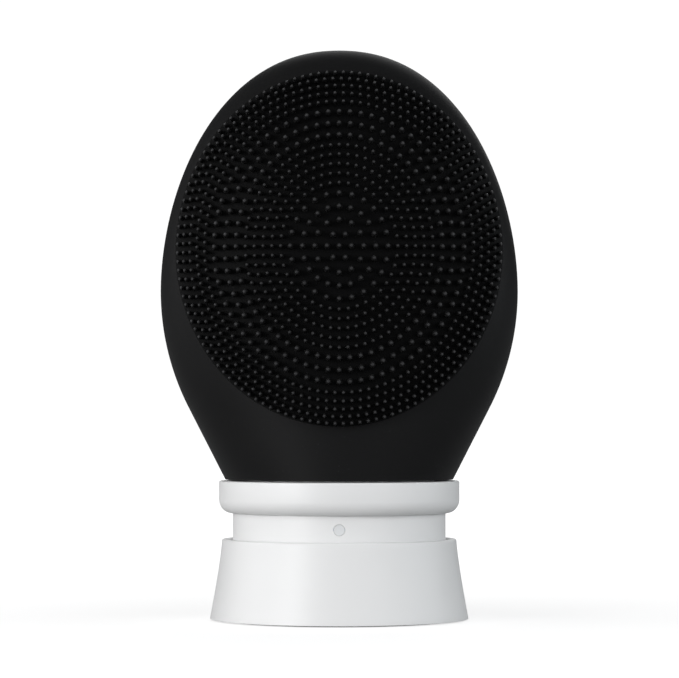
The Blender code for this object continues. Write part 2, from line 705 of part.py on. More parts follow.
def charging_works(scrubber):
    """Receiver coil on its ferrite, the charging board, its lamp and the light pipe."""
    coil = ring_profile(COIL_BORE, COIL_RADIUS, 0, COIL_THICKNESS)
    place = {"location": (0, 0, NECK_COIL_BOTTOM), "parent": scrubber}
    turned_part("receiver_coil", coil, COPPER, TURN_STEPS, **place)
    plate = rod_mesh("receiver_ferrite", FERRITE_RADIUS, 0, FERRITE_THICKNESS, TURN_STEPS)
    add_part("receiver_ferrite", plate, FERRITE, (0, 0, NECK_FERRITE_BOTTOM), parent=scrubber)
    board = rod_mesh("charging_board", CHARGING_BOARD_RADIUS, 0, CHARGING_BOARD_THICKNESS, TURN_STEPS)
    place = {"location": (0, 0, CHARGING_BOARD_BOTTOM), "parent": scrubber}
    add_part("charging_board", board, BOARD_GREEN, **place)
    lamp_bottom = CHARGING_BOARD_TOP + FIT_GAP
    lamp_top = lamp_bottom + LAMP_HEIGHT
    lamp = block_mesh(
        "charge_lamp",
        (-LAMP_WIDTH / 2, LIGHT_Y - LAMP_HEIGHT / 2, lamp_bottom),
        (LAMP_WIDTH / 2, LIGHT_Y + LAMP_HEIGHT / 2, lamp_top),
    )
    add_part("charge_lamp", lamp, LENS, parent=scrubber)
    route = [(0, LIGHT_Y, lamp_top + FIT_GAP)]
    centre = (LIGHT_Y - LIGHT_PIPE_BEND, LIGHT_Z - LIGHT_PIPE_BEND)
    for y, z in arc_points(centre, (LIGHT_PIPE_BEND, LIGHT_PIPE_BEND), 0, 90, 4):
        route.append((0, y, z))
    route.append((0, -NECK_RADIUS, LIGHT_Z))
    tube("light_pipe", route, LIGHT_PIPE_RADIUS, LENS, scrubber)


def tube(name, route, radius, finish, parent):
    """A round rod along a route."""
    curve = bpy.data.curves.new(name, "CURVE")
    curve.dimensions = "3D"
    curve.bevel_depth = radius
    curve.bevel_resolution = 2
    curve.use_fill_caps = True
    spline = curve.splines.new("POLY")
    spline.points.add(len(route) - 1)
    for point, place in zip(spline.points, route):
        point.co = (*place, 1.0)
    add_part_curve(name, curve, finish, parent)


def add_part_curve(name, curve, finish, parent):
    made = bpy.data.objects.new(name, curve)
    curve.materials.append(finish)
    made.parent = parent
    PARTS.objects.link(made)


# ---------------------------------------------------------------- head


def head_surface(name, inset):
    """The head's outer surface, moved inwards by the inset and open below the mouth."""
    bm = bmesh.new()
    rings = []
    for z in head_levels():
        rings.append([bm.verts.new(point) for point in section_ring(z)])
    for lower, upper in zip(rings, rings[1:]):
        for i in range(HEAD_SEGMENTS):
            j = (i + 1) % HEAD_SEGMENTS
            bm.faces.new((lower[i], lower[j], upper[j], upper[i]))
    pole = bm.verts.new((0, 0, HEAD_TOP))
    for i in range(HEAD_SEGMENTS):
        bm.faces.new((rings[-1][i], rings[-1][(i + 1) % HEAD_SEGMENTS], pole))
    bm.normal_update()
    moves = [(vert, vert.normal * inset) for vert in bm.verts]
    for vert, move in moves:
        vert.co -= move
    mesh = bpy.data.meshes.new(name)
    bm.to_mesh(mesh)
    bm.free()
    mesh.shade_smooth()
    return mesh


def thicken(target, wall, mouth):
    """Gives the surface its wall, inwards, and trims it flat at its mouth."""
    skin = target.modifiers.new("wall", "SOLIDIFY")
    skin.thickness = wall
    skin.offset = -1.0
    reach = 2 * HEAD_HALF_WIDTH
    name = f"{target.name}_mouth"
    cut(target, add_cutter(name, block_mesh(name, (-reach, -reach, 0), (reach, reach, mouth))))


def field_block():
    """The block that the touch points fill: the head's front, brought forward within an ellipse."""
    bm = bmesh.new()
    middle = bm.verts.new((0, FIELD_ROOT - head_surface_depth(0, FIELD_Z), FIELD_Z))
    rings = []
    for ring in range(1, FIELD_RINGS + 1):
        share = ring / FIELD_RINGS
        verts = []
        for step in range(HEAD_SEGMENTS):
            angle = 2 * math.pi * step / HEAD_SEGMENTS
            x = FIELD_HALF_WIDTH * share * math.cos(angle)
            z = FIELD_Z + FIELD_HALF_HEIGHT * share * math.sin(angle)
            verts.append(bm.verts.new((x, FIELD_ROOT - head_surface_depth(x, z), z)))
        rings.append(verts)
    for i in range(HEAD_SEGMENTS):
        j = (i + 1) % HEAD_SEGMENTS
        bm.faces.new((middle, rings[0][i], rings[0][j]))
        for inner, outer in zip(rings, rings[1:]):
            bm.faces.new((inner[i], outer[i], outer[j], inner[j]))
    grown = bmesh.ops.extrude_face_region(bm, geom=bm.faces[:], use_keep_orig=True)
    moved = [item for item in grown["geom"] if isinstance(item, bmesh.types.BMVert)]
    bmesh.ops.translate(bm, vec=(0, -FIELD_ROOT - FIELD_HEIGHT, 0), verts=moved)
    return mesh_from("touch_field", bm)


def sleeve(scrubber):
    """Silicone sleeve with the touch-point field on its front and a hole for the button behind."""
    cover = add_part(
        "silicone_sleeve", head_surface("silicone_sleeve", 0), BLACK_SILICONE, parent=scrubber
    )
    thicken(cover, SLEEVE_WALL, MOUTH_Z)
    join(cover, add_cutter("touch_field", field_block()))
    cut(cover, button_hole("sleeve_button_hole", BUTTON_HOLE + FIT_GAP))


def button_hole(name, radius):
    hole = rod_mesh(name, radius, HEAD_HALF_DEPTH / 2, HEAD_HALF_DEPTH * 1.5, 24)
    return add_cutter(name, hole, (0, 0, BUTTON_Z), ALONG_Y)


def shells(scrubber):
    """The two hard shells under the sleeve, split front and rear."""
    reach = 2 * HEAD_HALF_WIDTH
    for name, side in (("front_shell", -1), ("rear_shell", 1)):
        surface = head_surface(name, SHELL_INSET)
        shell = add_part(name, surface, BLACK_ABS, parent=scrubber)
        thicken(shell, SHELL_WALL, MOUTH_Z + GASKET_THICKNESS + FIT_GAP)
        inner, outer = sorted((side * SHELL_SPLIT / 2, -side * reach))
        half = block_mesh(f"{name}_half", (-reach, inner, 0), (reach, outer, HEAD_TOP + reach))
        cut(shell, add_cutter(f"{name}_half", half))
        if side > 0:
            rear_shell_features(shell)


def chassis_screw_places():
    return [(side * SCREW_X, z) for z in (LOWER_BOSS_Z, UPPER_BOSS_Z) for side in (-1, 1)]


def boss_limit():
    """Solid that fills the head out to the middle of the shell's wall, where the bosses end."""
    mesh = head_surface("boss_limit", SHELL_INSET + SHELL_WALL / 2)
    bm = bmesh.new()
    bm.from_mesh(mesh)
    rim = [edge for edge in bm.edges if edge.is_boundary]
    bmesh.ops.holes_fill(bm, edges=rim, sides=HEAD_SEGMENTS)
    bmesh.ops.recalc_face_normals(bm, faces=bm.faces)
    bm.to_mesh(mesh)
    bm.free()
    return add_cutter("boss_limit", mesh)


def rear_shell_features(shell):
    """Bosses for the chassis screws, each trimmed to the shell's wall, and the button's hole."""
    start = CHASSIS_REAR + FIT_GAP
    reach = max(HEAD_HALF_DEPTH, MOUTH_RADIUS)
    limit = boss_limit()
    for number, (x, z) in enumerate(chassis_screw_places(), 1):
        rod = rod_mesh("boss", BOSS_RADIUS, start, reach)
        boss = add_cutter(f"shell_boss_{number}", rod, (x, 0, z), ALONG_Y)
        boolean(boss, limit, "INTERSECT")
        join(shell, boss)
        pilot = rod_mesh("pilot", SCREW_HOLE, start - MM, start + SHELL_PILOT_DEPTH)
        cut(shell, add_cutter(f"shell_pilot_{number}", pilot, (x, 0, z), ALONG_Y))
    cut(shell, button_hole("shell_button_hole", BUTTON_HOLE))


# ---------------------------------------------------------------- works in the head


def chassis(scrubber):
    """Plate that carries the battery, motor and board, narrower where it enters the neck."""
    plate = block_mesh(
        "chassis",
        (-CHASSIS_HALF_WIDTH, CHASSIS_FRONT, SPIGOT_TOP + CHASSIS_OVER_SPIGOT),
        (CHASSIS_HALF_WIDTH, CHASSIS_REAR, CHASSIS_TOP),
    )
    frame = add_part("chassis", plate, GREY_ABS, parent=scrubber)
    tail = block_mesh(
        "chassis_tail",
        (-CHASSIS_NECK_HALF_WIDTH, CHASSIS_FRONT, CHASSIS_BOTTOM),
        (CHASSIS_NECK_HALF_WIDTH, CHASSIS_REAR, SPIGOT_TOP + CHASSIS_OVER_SPIGOT + MM),
    )
    join(frame, add_cutter("chassis_tail", tail))
    saddle_half = BATTERY_RADIUS + FIT_GAP + SADDLE_WALL
    saddles = (CHASSIS_BOTTOM + LOWER_SADDLE_INSET, BATTERY_TOP - UPPER_SADDLE_INSET)
    for number, z in enumerate(saddles, 1):
        saddle = block_mesh(
            "saddle",
            (-saddle_half, BATTERY_Y, z - SADDLE_HEIGHT / 2),
            (saddle_half, CHASSIS_FRONT + JOIN_DEPTH, z + SADDLE_HEIGHT / 2),
        )
        join(frame, add_cutter(f"battery_saddle_{number}", saddle))
    bed_radius = BATTERY_RADIUS + FIT_GAP - FACE_SLIP
    bed = rod_mesh("bed", bed_radius, BATTERY_BOTTOM, BATTERY_TOP, 24)
    cut(frame, add_cutter("battery_bed", bed, (0, BATTERY_Y, 0)))
    board_front, _ = main_board_faces()
    posts = (MAIN_BOARD_BOTTOM + BOARD_POST_INSET, MAIN_BOARD_TOP - BOARD_POST_INSET)
    for number, z in enumerate(posts, 1):
        root = CHASSIS_REAR - JOIN_DEPTH
        post = rod_mesh("post", BOARD_POST_RADIUS, root, board_front - FIT_GAP, 12)
        join(frame, add_cutter(f"board_post_{number}", post, (0, 0, z), ALONG_Y))
    middle = (MOTOR_BOTTOM + MOTOR_TOP) / 2
    holes = chassis_screw_places() + [(side * SCREW_X, middle) for side in (-1, 1)]
    for number, (x, z) in enumerate(holes, 1):
        hole = rod_mesh("hole", SCREW_HOLE, CHASSIS_FRONT - MM, CHASSIS_REAR + MM, 12)
        cut(frame, add_cutter(f"chassis_hole_{number}", hole, (x, 0, z), ALONG_Y))
    length = CHASSIS_THICKNESS + SHELL_SCREW_GRIP
    for number, (x, z) in enumerate(chassis_screw_places(), 1):
        place = (x, CHASSIS_FRONT - FIT_GAP, z)
        screw(f"chassis_screw_{number}", length, place, FACING_FRONT, scrubber)


def battery(scrubber):
    """Round cell with its raised cap."""
    edge = 0.6 * MM
    profile = [
        (0, BATTERY_LENGTH),
        (BATTERY_NUB_RADIUS, BATTERY_LENGTH),
        (BATTERY_NUB_RADIUS, BATTERY_LENGTH - BATTERY_NUB_HEIGHT),
        (BATTERY_RADIUS - edge, BATTERY_LENGTH - BATTERY_NUB_HEIGHT),
        (BATTERY_RADIUS, BATTERY_LENGTH - BATTERY_NUB_HEIGHT - edge),
        (BATTERY_RADIUS, edge),
        (BATTERY_RADIUS - edge, 0),
        (0, 0),
    ]
    place = {"location": (0, BATTERY_Y, BATTERY_BOTTOM), "parent": scrubber}
    turned_part("battery_cell", profile, CELL_WRAP, 24, False, **place)


def motor(scrubber):
    """Motor can with its magnet, end cap, armature and off-centre weight."""
    bore = MOTOR_RADIUS - MOTOR_WALL
    shaft_hole = SHAFT_RADIUS + AIR_GAP
    place = {"location": (0, MOTOR_Y, 0), "parent": scrubber}
    can = [
        (shaft_hole, MOTOR_TOP),
        (MOTOR_RADIUS - MOTOR_WALL, MOTOR_TOP),
        (MOTOR_RADIUS, MOTOR_TOP - MOTOR_WALL),
        (MOTOR_RADIUS, MOTOR_BOTTOM),
        (bore, MOTOR_BOTTOM),
        (bore, MOTOR_TOP - MOTOR_ROOF),
        (shaft_hole, MOTOR_TOP - MOTOR_ROOF),
    ]
    turned_part("motor_case", can, STEEL, 24, **place)
    cap_radius = bore - FIT_GAP
    cap = [
        (0, MOTOR_BOTTOM + MOTOR_CAP_HEIGHT),
        (cap_radius, MOTOR_BOTTOM + MOTOR_CAP_HEIGHT),
        (cap_radius, MOTOR_BOTTOM),
        (0, MOTOR_BOTTOM),
    ]
    turned_part("motor_endcap", cap, BLACK_ABS, 24, False, **place)
    drum_bottom = MOTOR_BOTTOM + MOTOR_CAP_HEIGHT + MOTOR_END_PLAY
    drum_top = MOTOR_TOP - MOTOR_ROOF - MOTOR_END_PLAY
    magnet_outer = bore - FIT_GAP
    magnet = ring_profile(magnet_outer - MAGNET_WALL, magnet_outer, drum_bottom, drum_top)
    turned_part("motor_magnet", magnet, FERRITE, 24, **place)

    rotor = empty("rotor_axis", (0, MOTOR_Y, 0), scrubber)
    drum_radius = magnet_outer - MAGNET_WALL - AIR_GAP
    armature = [
        (0, WEIGHT_TOP + SHAFT_SHOW),
        (SHAFT_RADIUS, WEIGHT_TOP + SHAFT_SHOW),
        (SHAFT_RADIUS, drum_top - FIT_GAP),
        (drum_radius, drum_top - FIT_GAP),
        (drum_radius, drum_bottom),
        (0, drum_bottom),
    ]
    turned_part("motor_rotor", armature, COPPER, 20, False, parent=rotor)
    weight = add_part(
        "eccentric_weight",
        rod_mesh("eccentric_weight", WEIGHT_RADIUS, WEIGHT_BOTTOM, WEIGHT_TOP, 24),
        STEEL,
        parent=rotor,
    )
    side = block_mesh(
        "weight_flat",
        (-2 * WEIGHT_RADIUS, -2 * WEIGHT_RADIUS, WEIGHT_BOTTOM - MM),
        (2 * WEIGHT_RADIUS, -WEIGHT_FLAT_INSET, WEIGHT_TOP + MM),
    )
    cut(weight, add_cutter("weight_flat", side, parent=rotor))
    bore_radius = SHAFT_RADIUS + WEIGHT_BORE_GAP
    bore_rod = rod_mesh("weight_bore", bore_radius, WEIGHT_BOTTOM - MM, WEIGHT_TOP + MM)
    cut(weight, add_cutter("weight_bore", bore_rod, parent=rotor))


def motor_bracket(scrubber):
    """Block that holds the motor against the chassis by two ears."""
    half = BRACKET_BORE + BRACKET_WALL
    middle = (MOTOR_BOTTOM + MOTOR_TOP) / 2
    body = block_mesh(
        "motor_bracket",
        (-half, MOTOR_Y - half, middle - BRACKET_HEIGHT / 2),
        (half, BRACKET_REAR, middle + BRACKET_HEIGHT / 2),
    )
    bracket = add_part("motor_bracket", body, GREY_ABS, parent=scrubber)
    ears = block_mesh(
        "bracket_ears",
        (-CHASSIS_HALF_WIDTH + MM, BRACKET_REAR - EAR_THICKNESS, middle - EAR_HEIGHT / 2),
        (CHASSIS_HALF_WIDTH - MM, BRACKET_REAR - FACE_SLIP, middle + EAR_HEIGHT / 2),
    )
    join(bracket, add_cutter("bracket_ears", ears))
    bore = rod_mesh("bracket_bore", BRACKET_BORE, MOTOR_BOTTOM, MOTOR_TOP, 24)
    cut(bracket, add_cutter("bracket_bore", bore, (0, MOTOR_Y, 0)))
    for number, x in enumerate((-SCREW_X, SCREW_X), 1):
        front = BRACKET_REAR - EAR_THICKNESS
        hole = rod_mesh("hole", SCREW_HOLE, front - MM, BRACKET_REAR + MM, 12)
        cut(bracket, add_cutter(f"ear_hole_{number}", hole, (x, 0, middle), ALONG_Y))
        length = EAR_THICKNESS + CHASSIS_THICKNESS + 2 * FIT_GAP
        place = (x, front - FIT_GAP, middle)
        screw(f"bracket_screw_{number}", length, place, FACING_FRONT, scrubber)


def button_faces():
    """Depths of the button's flange and stem, from the shell's inner wall inwards."""
    flange_radius = BUTTON_RADIUS + BUTTON_FLANGE
    wall = least_depth(0, BUTTON_Z, flange_radius) - SHELL_BORE_INSET
    flange_outer = wall - BUTTON_BACKLASH
    flange_inner = flange_outer - BUTTON_FLANGE_THICKNESS
    return flange_outer, flange_inner, flange_inner - BUTTON_STEM


def main_board_faces():
    """Front and rear depths of the main board, set by the switch under the button."""
    plunger_tip = button_faces()[2] - FIT_GAP
    rear = plunger_tip - PLUNGER_SHOW - SWITCH_HEIGHT - FIT_GAP
    return rear - MAIN_BOARD_THICKNESS, rear


def board_and_switch(scrubber):
    """Main board behind the chassis, with the switch that the button presses."""
    front, rear = main_board_faces()
    board = block_mesh(
        "main_board",
        (-MAIN_BOARD_HALF_WIDTH, front, MAIN_BOARD_BOTTOM),
        (MAIN_BOARD_HALF_WIDTH, rear, MAIN_BOARD_TOP),
    )
    add_part("main_board", board, BOARD_GREEN, parent=scrubber)
    half = SWITCH_WIDTH / 2
    base = rear + FIT_GAP
    body = block_mesh(
        "switch_body",
        (-half, base, BUTTON_Z - half),
        (half, base + SWITCH_HEIGHT, BUTTON_Z + half),
    )
    switch = add_part("switch_body", body, BLACK_ABS, parent=scrubber)
    well = rod_mesh(
        "switch_well", PLUNGER_RADIUS + FIT_GAP, base + SWITCH_FLOOR, base + SWITCH_HEIGHT + MM
    )
    cut(switch, add_cutter("switch_well", well, (0, 0, BUTTON_Z), ALONG_Y))


def power_button(scrubber):
    """Round button behind the head, with the switch plunger that it drives."""
    outer, inner, stem_tip = button_faces()
    axis = empty("power_button_axis", (0, inner, BUTTON_Z), scrubber)
    face = head_surface_depth(0, BUTTON_Z) - inner
    flange_top = outer - inner
    edge = 0.5 * MM
    profile = [
        (0, face),
        (BUTTON_RADIUS - edge, face - BUTTON_DOME),
        (BUTTON_RADIUS, face - BUTTON_DOME - edge),
        (BUTTON_RADIUS, flange_top),
        (BUTTON_RADIUS + BUTTON_FLANGE, flange_top),
        (BUTTON_RADIUS + BUTTON_FLANGE, 0),
        (BUTTON_STEM_RADIUS, 0),
        (BUTTON_STEM_RADIUS, stem_tip - inner),
        (0, stem_tip - inner),
    ]
    turned_part(
        "power_button", profile, BLACK_ABS, 24, False, rotation=ALONG_Y, parent=axis
    )
    tip = stem_tip - FIT_GAP - inner
    plunger = rod_mesh("switch_plunger", PLUNGER_RADIUS, tip - PLUNGER_LENGTH, tip, 16)
    add_part("switch_plunger", plunger, GREY_ABS, rotation=ALONG_Y, parent=axis)


def smooth_route(points):
    """Evenly read points on a smooth curve through the given ones."""
    points = [Vector(point) for point in points]
    ends = [points[0] * 2 - points[1]] + points + [points[-1] * 2 - points[-2]]
    route = []
    spans = len(points) - 1
    for step in range(LEAD_POINTS + 1):
        place = spans * step / LEAD_POINTS
        span = min(int(place), spans - 1)
        t = place - span
        a, b, c, d = ends[span : span + 4]
        route.append(
            (
                b * 2
                + (c - a) * t
                + (a * 2 - b * 5 + c * 4 - d) * t**2
                + (b * 3 - a - c * 3 + d) * t**3
            )
            / 2
        )
    return route


def leads(scrubber):
    """Battery and motor leads, each led round the chassis to the edge of the main board."""
    front, rear = main_board_faces()
    board_middle = (front + rear) / 2
    beside = CHASSIS_HALF_WIDTH + LEAD_CLEARANCE
    board_edge = MAIN_BOARD_HALF_WIDTH + FIT_GAP
    starts = (
        ("battery_lead", BATTERY_Y, BATTERY_TOP + FIT_GAP, 1.6 * MM, 2.6 * MM),
        ("motor_lead", MOTOR_Y, MOTOR_BOTTOM - FIT_GAP, 3.2 * MM, -1.8 * MM),
    )
    for name, y, z, out, rise in starts:
        for side, colour in ((-1, LEAD_BLACK), (1, LEAD_RED)):
            level = z + rise
            route = smooth_route(
                [
                    (side * out, y, z),
                    (side * (out + 1.5 * LEAD_BEND), y, level),
                    (side * (beside - 4 * LEAD_BEND), y + 2 * LEAD_BEND, level),
                    (side * beside, CHASSIS_FRONT + LEAD_BEND, level),
                    (side * (beside - LEAD_BEND), board_middle, level),
                    (side * board_edge, board_middle, level),
                ]
            )
            kind = "plus" if side > 0 else "minus"
            tube(f"{name}_{kind}", route, LEAD_RADIUS, colour, scrubber)


# ---------------------------------------------------------------- assembly


def main():
    stand = empty("stand", (0, 0, 0))
    scrubber = empty("scrubber", (0, 0, 0))
    stand_shell(stand)
    stand_base(stand)
    stand_works(stand)
    neck(scrubber)
    collar(scrubber)
    charging_works(scrubber)
    sleeve(scrubber)
    shells(scrubber)
    chassis(scrubber)
    battery(scrubber)
    motor(scrubber)
    motor_bracket(scrubber)
    board_and_switch(scrubber)
    power_button(scrubber)
    leads(scrubber)


main()
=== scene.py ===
"""Looks of a skin scrubber: a silicone head on a white neck, standing in its charging stand.

Metres throughout, with +Z up. The touch points face -Y, and +X is to the right of someone who
faces them. Every piece sits at the origin with its place in its mesh.
"""

import json
import logging
import math
from dataclasses import dataclass, field
from enum import Enum
from typing import Any, Callable

import bmesh
import bpy
from mathutils import Matrix, Vector


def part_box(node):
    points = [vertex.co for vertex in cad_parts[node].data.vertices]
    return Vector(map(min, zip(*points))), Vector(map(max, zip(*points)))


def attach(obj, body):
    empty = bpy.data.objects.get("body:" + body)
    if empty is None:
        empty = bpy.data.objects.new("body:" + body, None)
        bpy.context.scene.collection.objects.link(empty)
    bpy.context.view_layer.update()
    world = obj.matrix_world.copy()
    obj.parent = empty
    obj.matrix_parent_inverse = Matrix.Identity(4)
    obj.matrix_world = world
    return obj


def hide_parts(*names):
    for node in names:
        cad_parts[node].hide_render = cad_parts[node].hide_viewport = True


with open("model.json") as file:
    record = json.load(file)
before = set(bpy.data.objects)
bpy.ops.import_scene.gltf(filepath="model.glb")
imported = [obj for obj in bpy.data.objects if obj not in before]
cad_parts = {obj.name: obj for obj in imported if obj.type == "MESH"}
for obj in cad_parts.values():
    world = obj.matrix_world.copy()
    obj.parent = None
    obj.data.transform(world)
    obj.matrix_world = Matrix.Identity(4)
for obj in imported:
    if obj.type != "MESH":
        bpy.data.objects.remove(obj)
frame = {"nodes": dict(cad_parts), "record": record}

MM = 0.001
LOG = logging.getLogger("skin_scrubber")

# Vertices closer together than this are merged.
MERGE = 0.001 * MM
# Where most of a noise pattern's values lie.
NOISE_SPAN = (0.3, 0.7)

Colour = tuple[float, float, float]
Triple = tuple[float, float, float]
Socket = bpy.types.NodeSocket
Skin = tuple[Socket, Socket]


class Body(Enum):
    """The bodies that pieces ride on."""

    STAND = "stand"
    SCRUBBER = "scrubber"
    ROTOR = "rotor"
    BUTTON = "power_button"


class Slot(Enum):
    """The finishes that the object's materials stand for."""

    WHITE_PLASTIC = "white_plastic"
    BLACK_SILICONE = "black_silicone"
    BLACK_PLASTIC = "black_plastic"
    GREY_PLASTIC = "grey_plastic"
    FOOT_RUBBER = "foot_rubber"
    STEEL = "steel"
    COPPER = "copper"
    FERRITE = "ferrite"
    CIRCUIT_BOARD = "circuit_board"
    CELL_WRAP = "cell_wrap"
    CLEAR_LENS = "clear_lens"
    LEAD_RED = "lead_red"
    LEAD_BLACK = "lead_black"


# ---------------------------------------------------------------- shader effects


class Graph:
    """Adds nodes to one node tree and joins them."""

    def __init__(self, tree: bpy.types.NodeTree) -> None:
        """Keeps the tree that nodes go into."""
        self.tree = tree

    def add(self, kind: str, **settings: Any) -> bpy.types.Node:
        """Adds one node.

        Args:
            kind: The node's type, such as ShaderNodeTexNoise.
            **settings: Properties of the node.

        Returns:
            The new node.
        """
        node = self.tree.nodes.new(kind)
        for name, value in settings.items():
            setattr(node, name, value)
        return node

    def feed(self, socket: Socket, value: Any) -> None:
        """Joins an output to a socket, or sets the socket's own value.

        Args:
            socket: The input to feed.
            value: A node's output, or a plain value.
        """
        if isinstance(value, bpy.types.NodeSocket):
            self.tree.links.new(value, socket)
        else:
            socket.default_value = value

    def math(self, operation: str, first: Any, second: Any = 0.0) -> Socket:
        """Adds a Math node.

        Args:
            operation: What it works out, such as ADD.
            first: Its first value.
            second: Its second value.

        Returns:
            The result.
        """
        node = self.add("ShaderNodeMath", operation=operation)
        self.feed(node.inputs[0], first)
        self.feed(node.inputs[1], second)
        return node.outputs[0]

    def noise(self, vector: Socket, scale: Any, detail: float = 2.0) -> Socket:
        """Adds a noise pattern.

        Args:
            vector: The coordinates that it follows.
            scale: How fine it is.
            detail: How many finer layers it has.

        Returns:
            The pattern's value, from 0 to 1.
        """
        node = self.add("ShaderNodeTexNoise")
        self.feed(node.inputs["Vector"], vector)
        self.feed(node.inputs["Scale"], scale)
        node.inputs["Detail"].default_value = detail
        return node.outputs["Fac"]

    def spread(self, value: Socket, low: Any, high: Any, floor: float = 0.0, top: float = 1.0) -> Socket:
        """Moves a value from the range floor..top to the range low..high.

        Args:
            value: The value.
            low: What floor becomes.
            high: What top becomes.
            floor: Low end of the value's own range.
            top: High end of that range.

        Returns:
            The value in its new range.
        """
        node = self.add("ShaderNodeMapRange")
        self.feed(node.inputs["Value"], value)
        node.inputs["From Min"].default_value = floor
        node.inputs["From Max"].default_value = top
        self.feed(node.inputs["To Min"], low)
        self.feed(node.inputs["To Max"], high)
        return node.outputs["Result"]

    def mix(self, share: Any, first: Any, second: Any) -> Socket:
        """Mixes two colours.

        Args:
            share: How much of the second there is.
            first: The first colour.
            second: The second colour.

        Returns:
            The colour between them.
        """
        node = self.add("ShaderNodeMix", data_type="RGBA")
        self.feed(node.inputs["Factor"], share)
        self.feed(node.inputs["A"], first)
        self.feed(node.inputs["B"], second)
        return node.outputs["Result"]


@dataclass
class Effect:
    """A shader node group with named inputs and outputs, built once."""

    name: str
    inputs: dict[str, Any]
    outputs: tuple[str, ...]
    wire: Callable[[Graph, bpy.types.Node], dict[str, Socket]]
    tree: bpy.types.NodeTree | None = None

    def build(self) -> bpy.types.NodeTree:
        """Makes the group, or returns it if it is made.

        Returns:
            The group's node tree.
        """
        if self.tree:
            return self.tree
        tree = bpy.data.node_groups.new(self.name, "ShaderNodeTree")
        for name, value in self.inputs.items():
            kinds = {tuple: "NodeSocketColor", float: "NodeSocketFloat"}
            kind = kinds.get(type(value), "NodeSocketVector")
            socket = tree.interface.new_socket(name=name, in_out="INPUT", socket_type=kind)
            if value is not None:
                socket.default_value = value
        for name in self.outputs:
            kind = "NodeSocketColor" if name == "Colour" else "NodeSocketFloat"
            tree.interface.new_socket(name=name, in_out="OUTPUT", socket_type=kind)
        graph = Graph(tree)
        source = graph.add("NodeGroupInput")
        target = graph.add("NodeGroupOutput")
        for name, socket in self.wire(graph, source).items():
            graph.feed(target.inputs[name], socket)
        self.tree = tree
        return tree

    def place(self, graph: Graph, **values: Any) -> dict[str, Socket]:
        """Puts the group in a material with its own values.

        Args:
            graph: The material's graph.
            **values: Inputs by name, with _ for a space.

        Returns:
            The group's outputs by name.
        """
        node = graph.add("ShaderNodeGroup", node_tree=self.build())
        for name, value in values.items():
            graph.feed(node.inputs[name.replace("_", " ")], value)
        return {socket.name: socket for socket in node.outputs}


def wire_grain(graph: Graph, source: bpy.types.Node) -> dict[str, Socket]:
    """Moulded skin: a fine spark-eroded grain on a slow flow ripple.

    Args:
        graph: The group's graph.
        source: The group's inputs.

    Returns:
        What each of the group's outputs gives.
    """
    vector, size = source.outputs["Vector"], source.outputs["Grain"]
    fine = graph.noise(vector, size, 3.0)
    coarse = graph.noise(vector, graph.math("MULTIPLY", size, 0.07), 1.0)
    pits = graph.add("ShaderNodeTexVoronoi", feature="SMOOTH_F1")
    graph.feed(pits.inputs["Vector"], vector)
    graph.feed(pits.inputs["Scale"], graph.math("MULTIPLY", size, 0.6))
    height = graph.math("ADD", fine, graph.math("MULTIPLY", pits.outputs["Distance"], 0.5))
    height = graph.math("ADD", height, graph.math("MULTIPLY", coarse, source.outputs["Ripple"]))
    return {"Height": height, "Mask": fine}


def wire_drift(graph: Graph, source: bpy.types.Node) -> dict[str, Socket]:
    """Slow change of tone and gloss over a moulding.

    Args:
        graph: The group's graph.
        source: The group's inputs.

    Returns:
        What each of the group's outputs gives.
    """
    patches = graph.noise(source.outputs["Vector"], source.outputs["Patch"], 2.0)
    amount = source.outputs["Amount"]
    darker = graph.math("SUBTRACT", 1.0, amount)
    lighter = graph.math("ADD", 1.0, amount)
    tone = graph.spread(patches, darker, lighter, *NOISE_SPAN)
    scaled = graph.add("ShaderNodeVectorMath", operation="SCALE")
    graph.feed(scaled.inputs[0], source.outputs["Base"])
    graph.feed(scaled.inputs["Scale"], tone)
    low = graph.math("SUBTRACT", source.outputs["Gloss"], source.outputs["Gloss Spread"])
    high = graph.math("ADD", source.outputs["Gloss"], source.outputs["Gloss Spread"])
    rough = graph.spread(patches, low, high, *NOISE_SPAN)
    return {"Colour": scaled.outputs["Vector"], "Roughness": rough}


def wire_edge_rub(graph: Graph, source: bpy.types.Node) -> dict[str, Socket]:
    """Handled edges: rubbed a little smoother, and to the rubbed tone, in broken patches.

    Args:
        graph: The group's graph.
        source: The group's inputs.

    Returns:
        What each of the group's outputs gives.
    """
    shape = graph.add("ShaderNodeNewGeometry")
    edges = graph.spread(shape.outputs["Pointiness"], 0.0, 1.0, 0.52, 0.62)
    broken = graph.spread(graph.noise(source.outputs["Vector"], 900.0, 3.0), 0.2, 1.0, 0.35, 0.6)
    mask = graph.math("MULTIPLY", graph.math("MULTIPLY", edges, broken), source.outputs["Amount"])
    colour = graph.mix(mask, source.outputs["Base"], source.outputs["Rubbed"])
    rough = graph.math("MULTIPLY", source.outputs["Gloss"], graph.spread(mask, 1.0, 0.75))
    return {"Colour": colour, "Roughness": rough}


def wire_specks(graph: Graph, source: bpy.types.Node) -> dict[str, Socket]:
    """Scattered specks, such as lint, filler or pressed powder, in their own tone.

    Args:
        graph: The group's graph.
        source: The group's inputs.

    Returns:
        What each of the group's outputs gives.
    """
    cells = graph.add("ShaderNodeTexVoronoi", feature="F1")
    graph.feed(cells.inputs["Vector"], source.outputs["Vector"])
    graph.feed(cells.inputs["Scale"], source.outputs["Density"])
    dot = graph.spread(cells.outputs["Distance"], 1.0, 0.0, 0.06, 0.16)
    some = graph.spread(graph.noise(source.outputs["Vector"], 160.0, 1.0), 0.0, 1.0, 0.5, 0.62)
    mask = graph.math("MULTIPLY", graph.math("MULTIPLY", dot, some), source.outputs["Amount"])
    return {"Colour": graph.mix(mask, source.outputs["Base"], source.outputs["Speck"]), "Mask": mask}


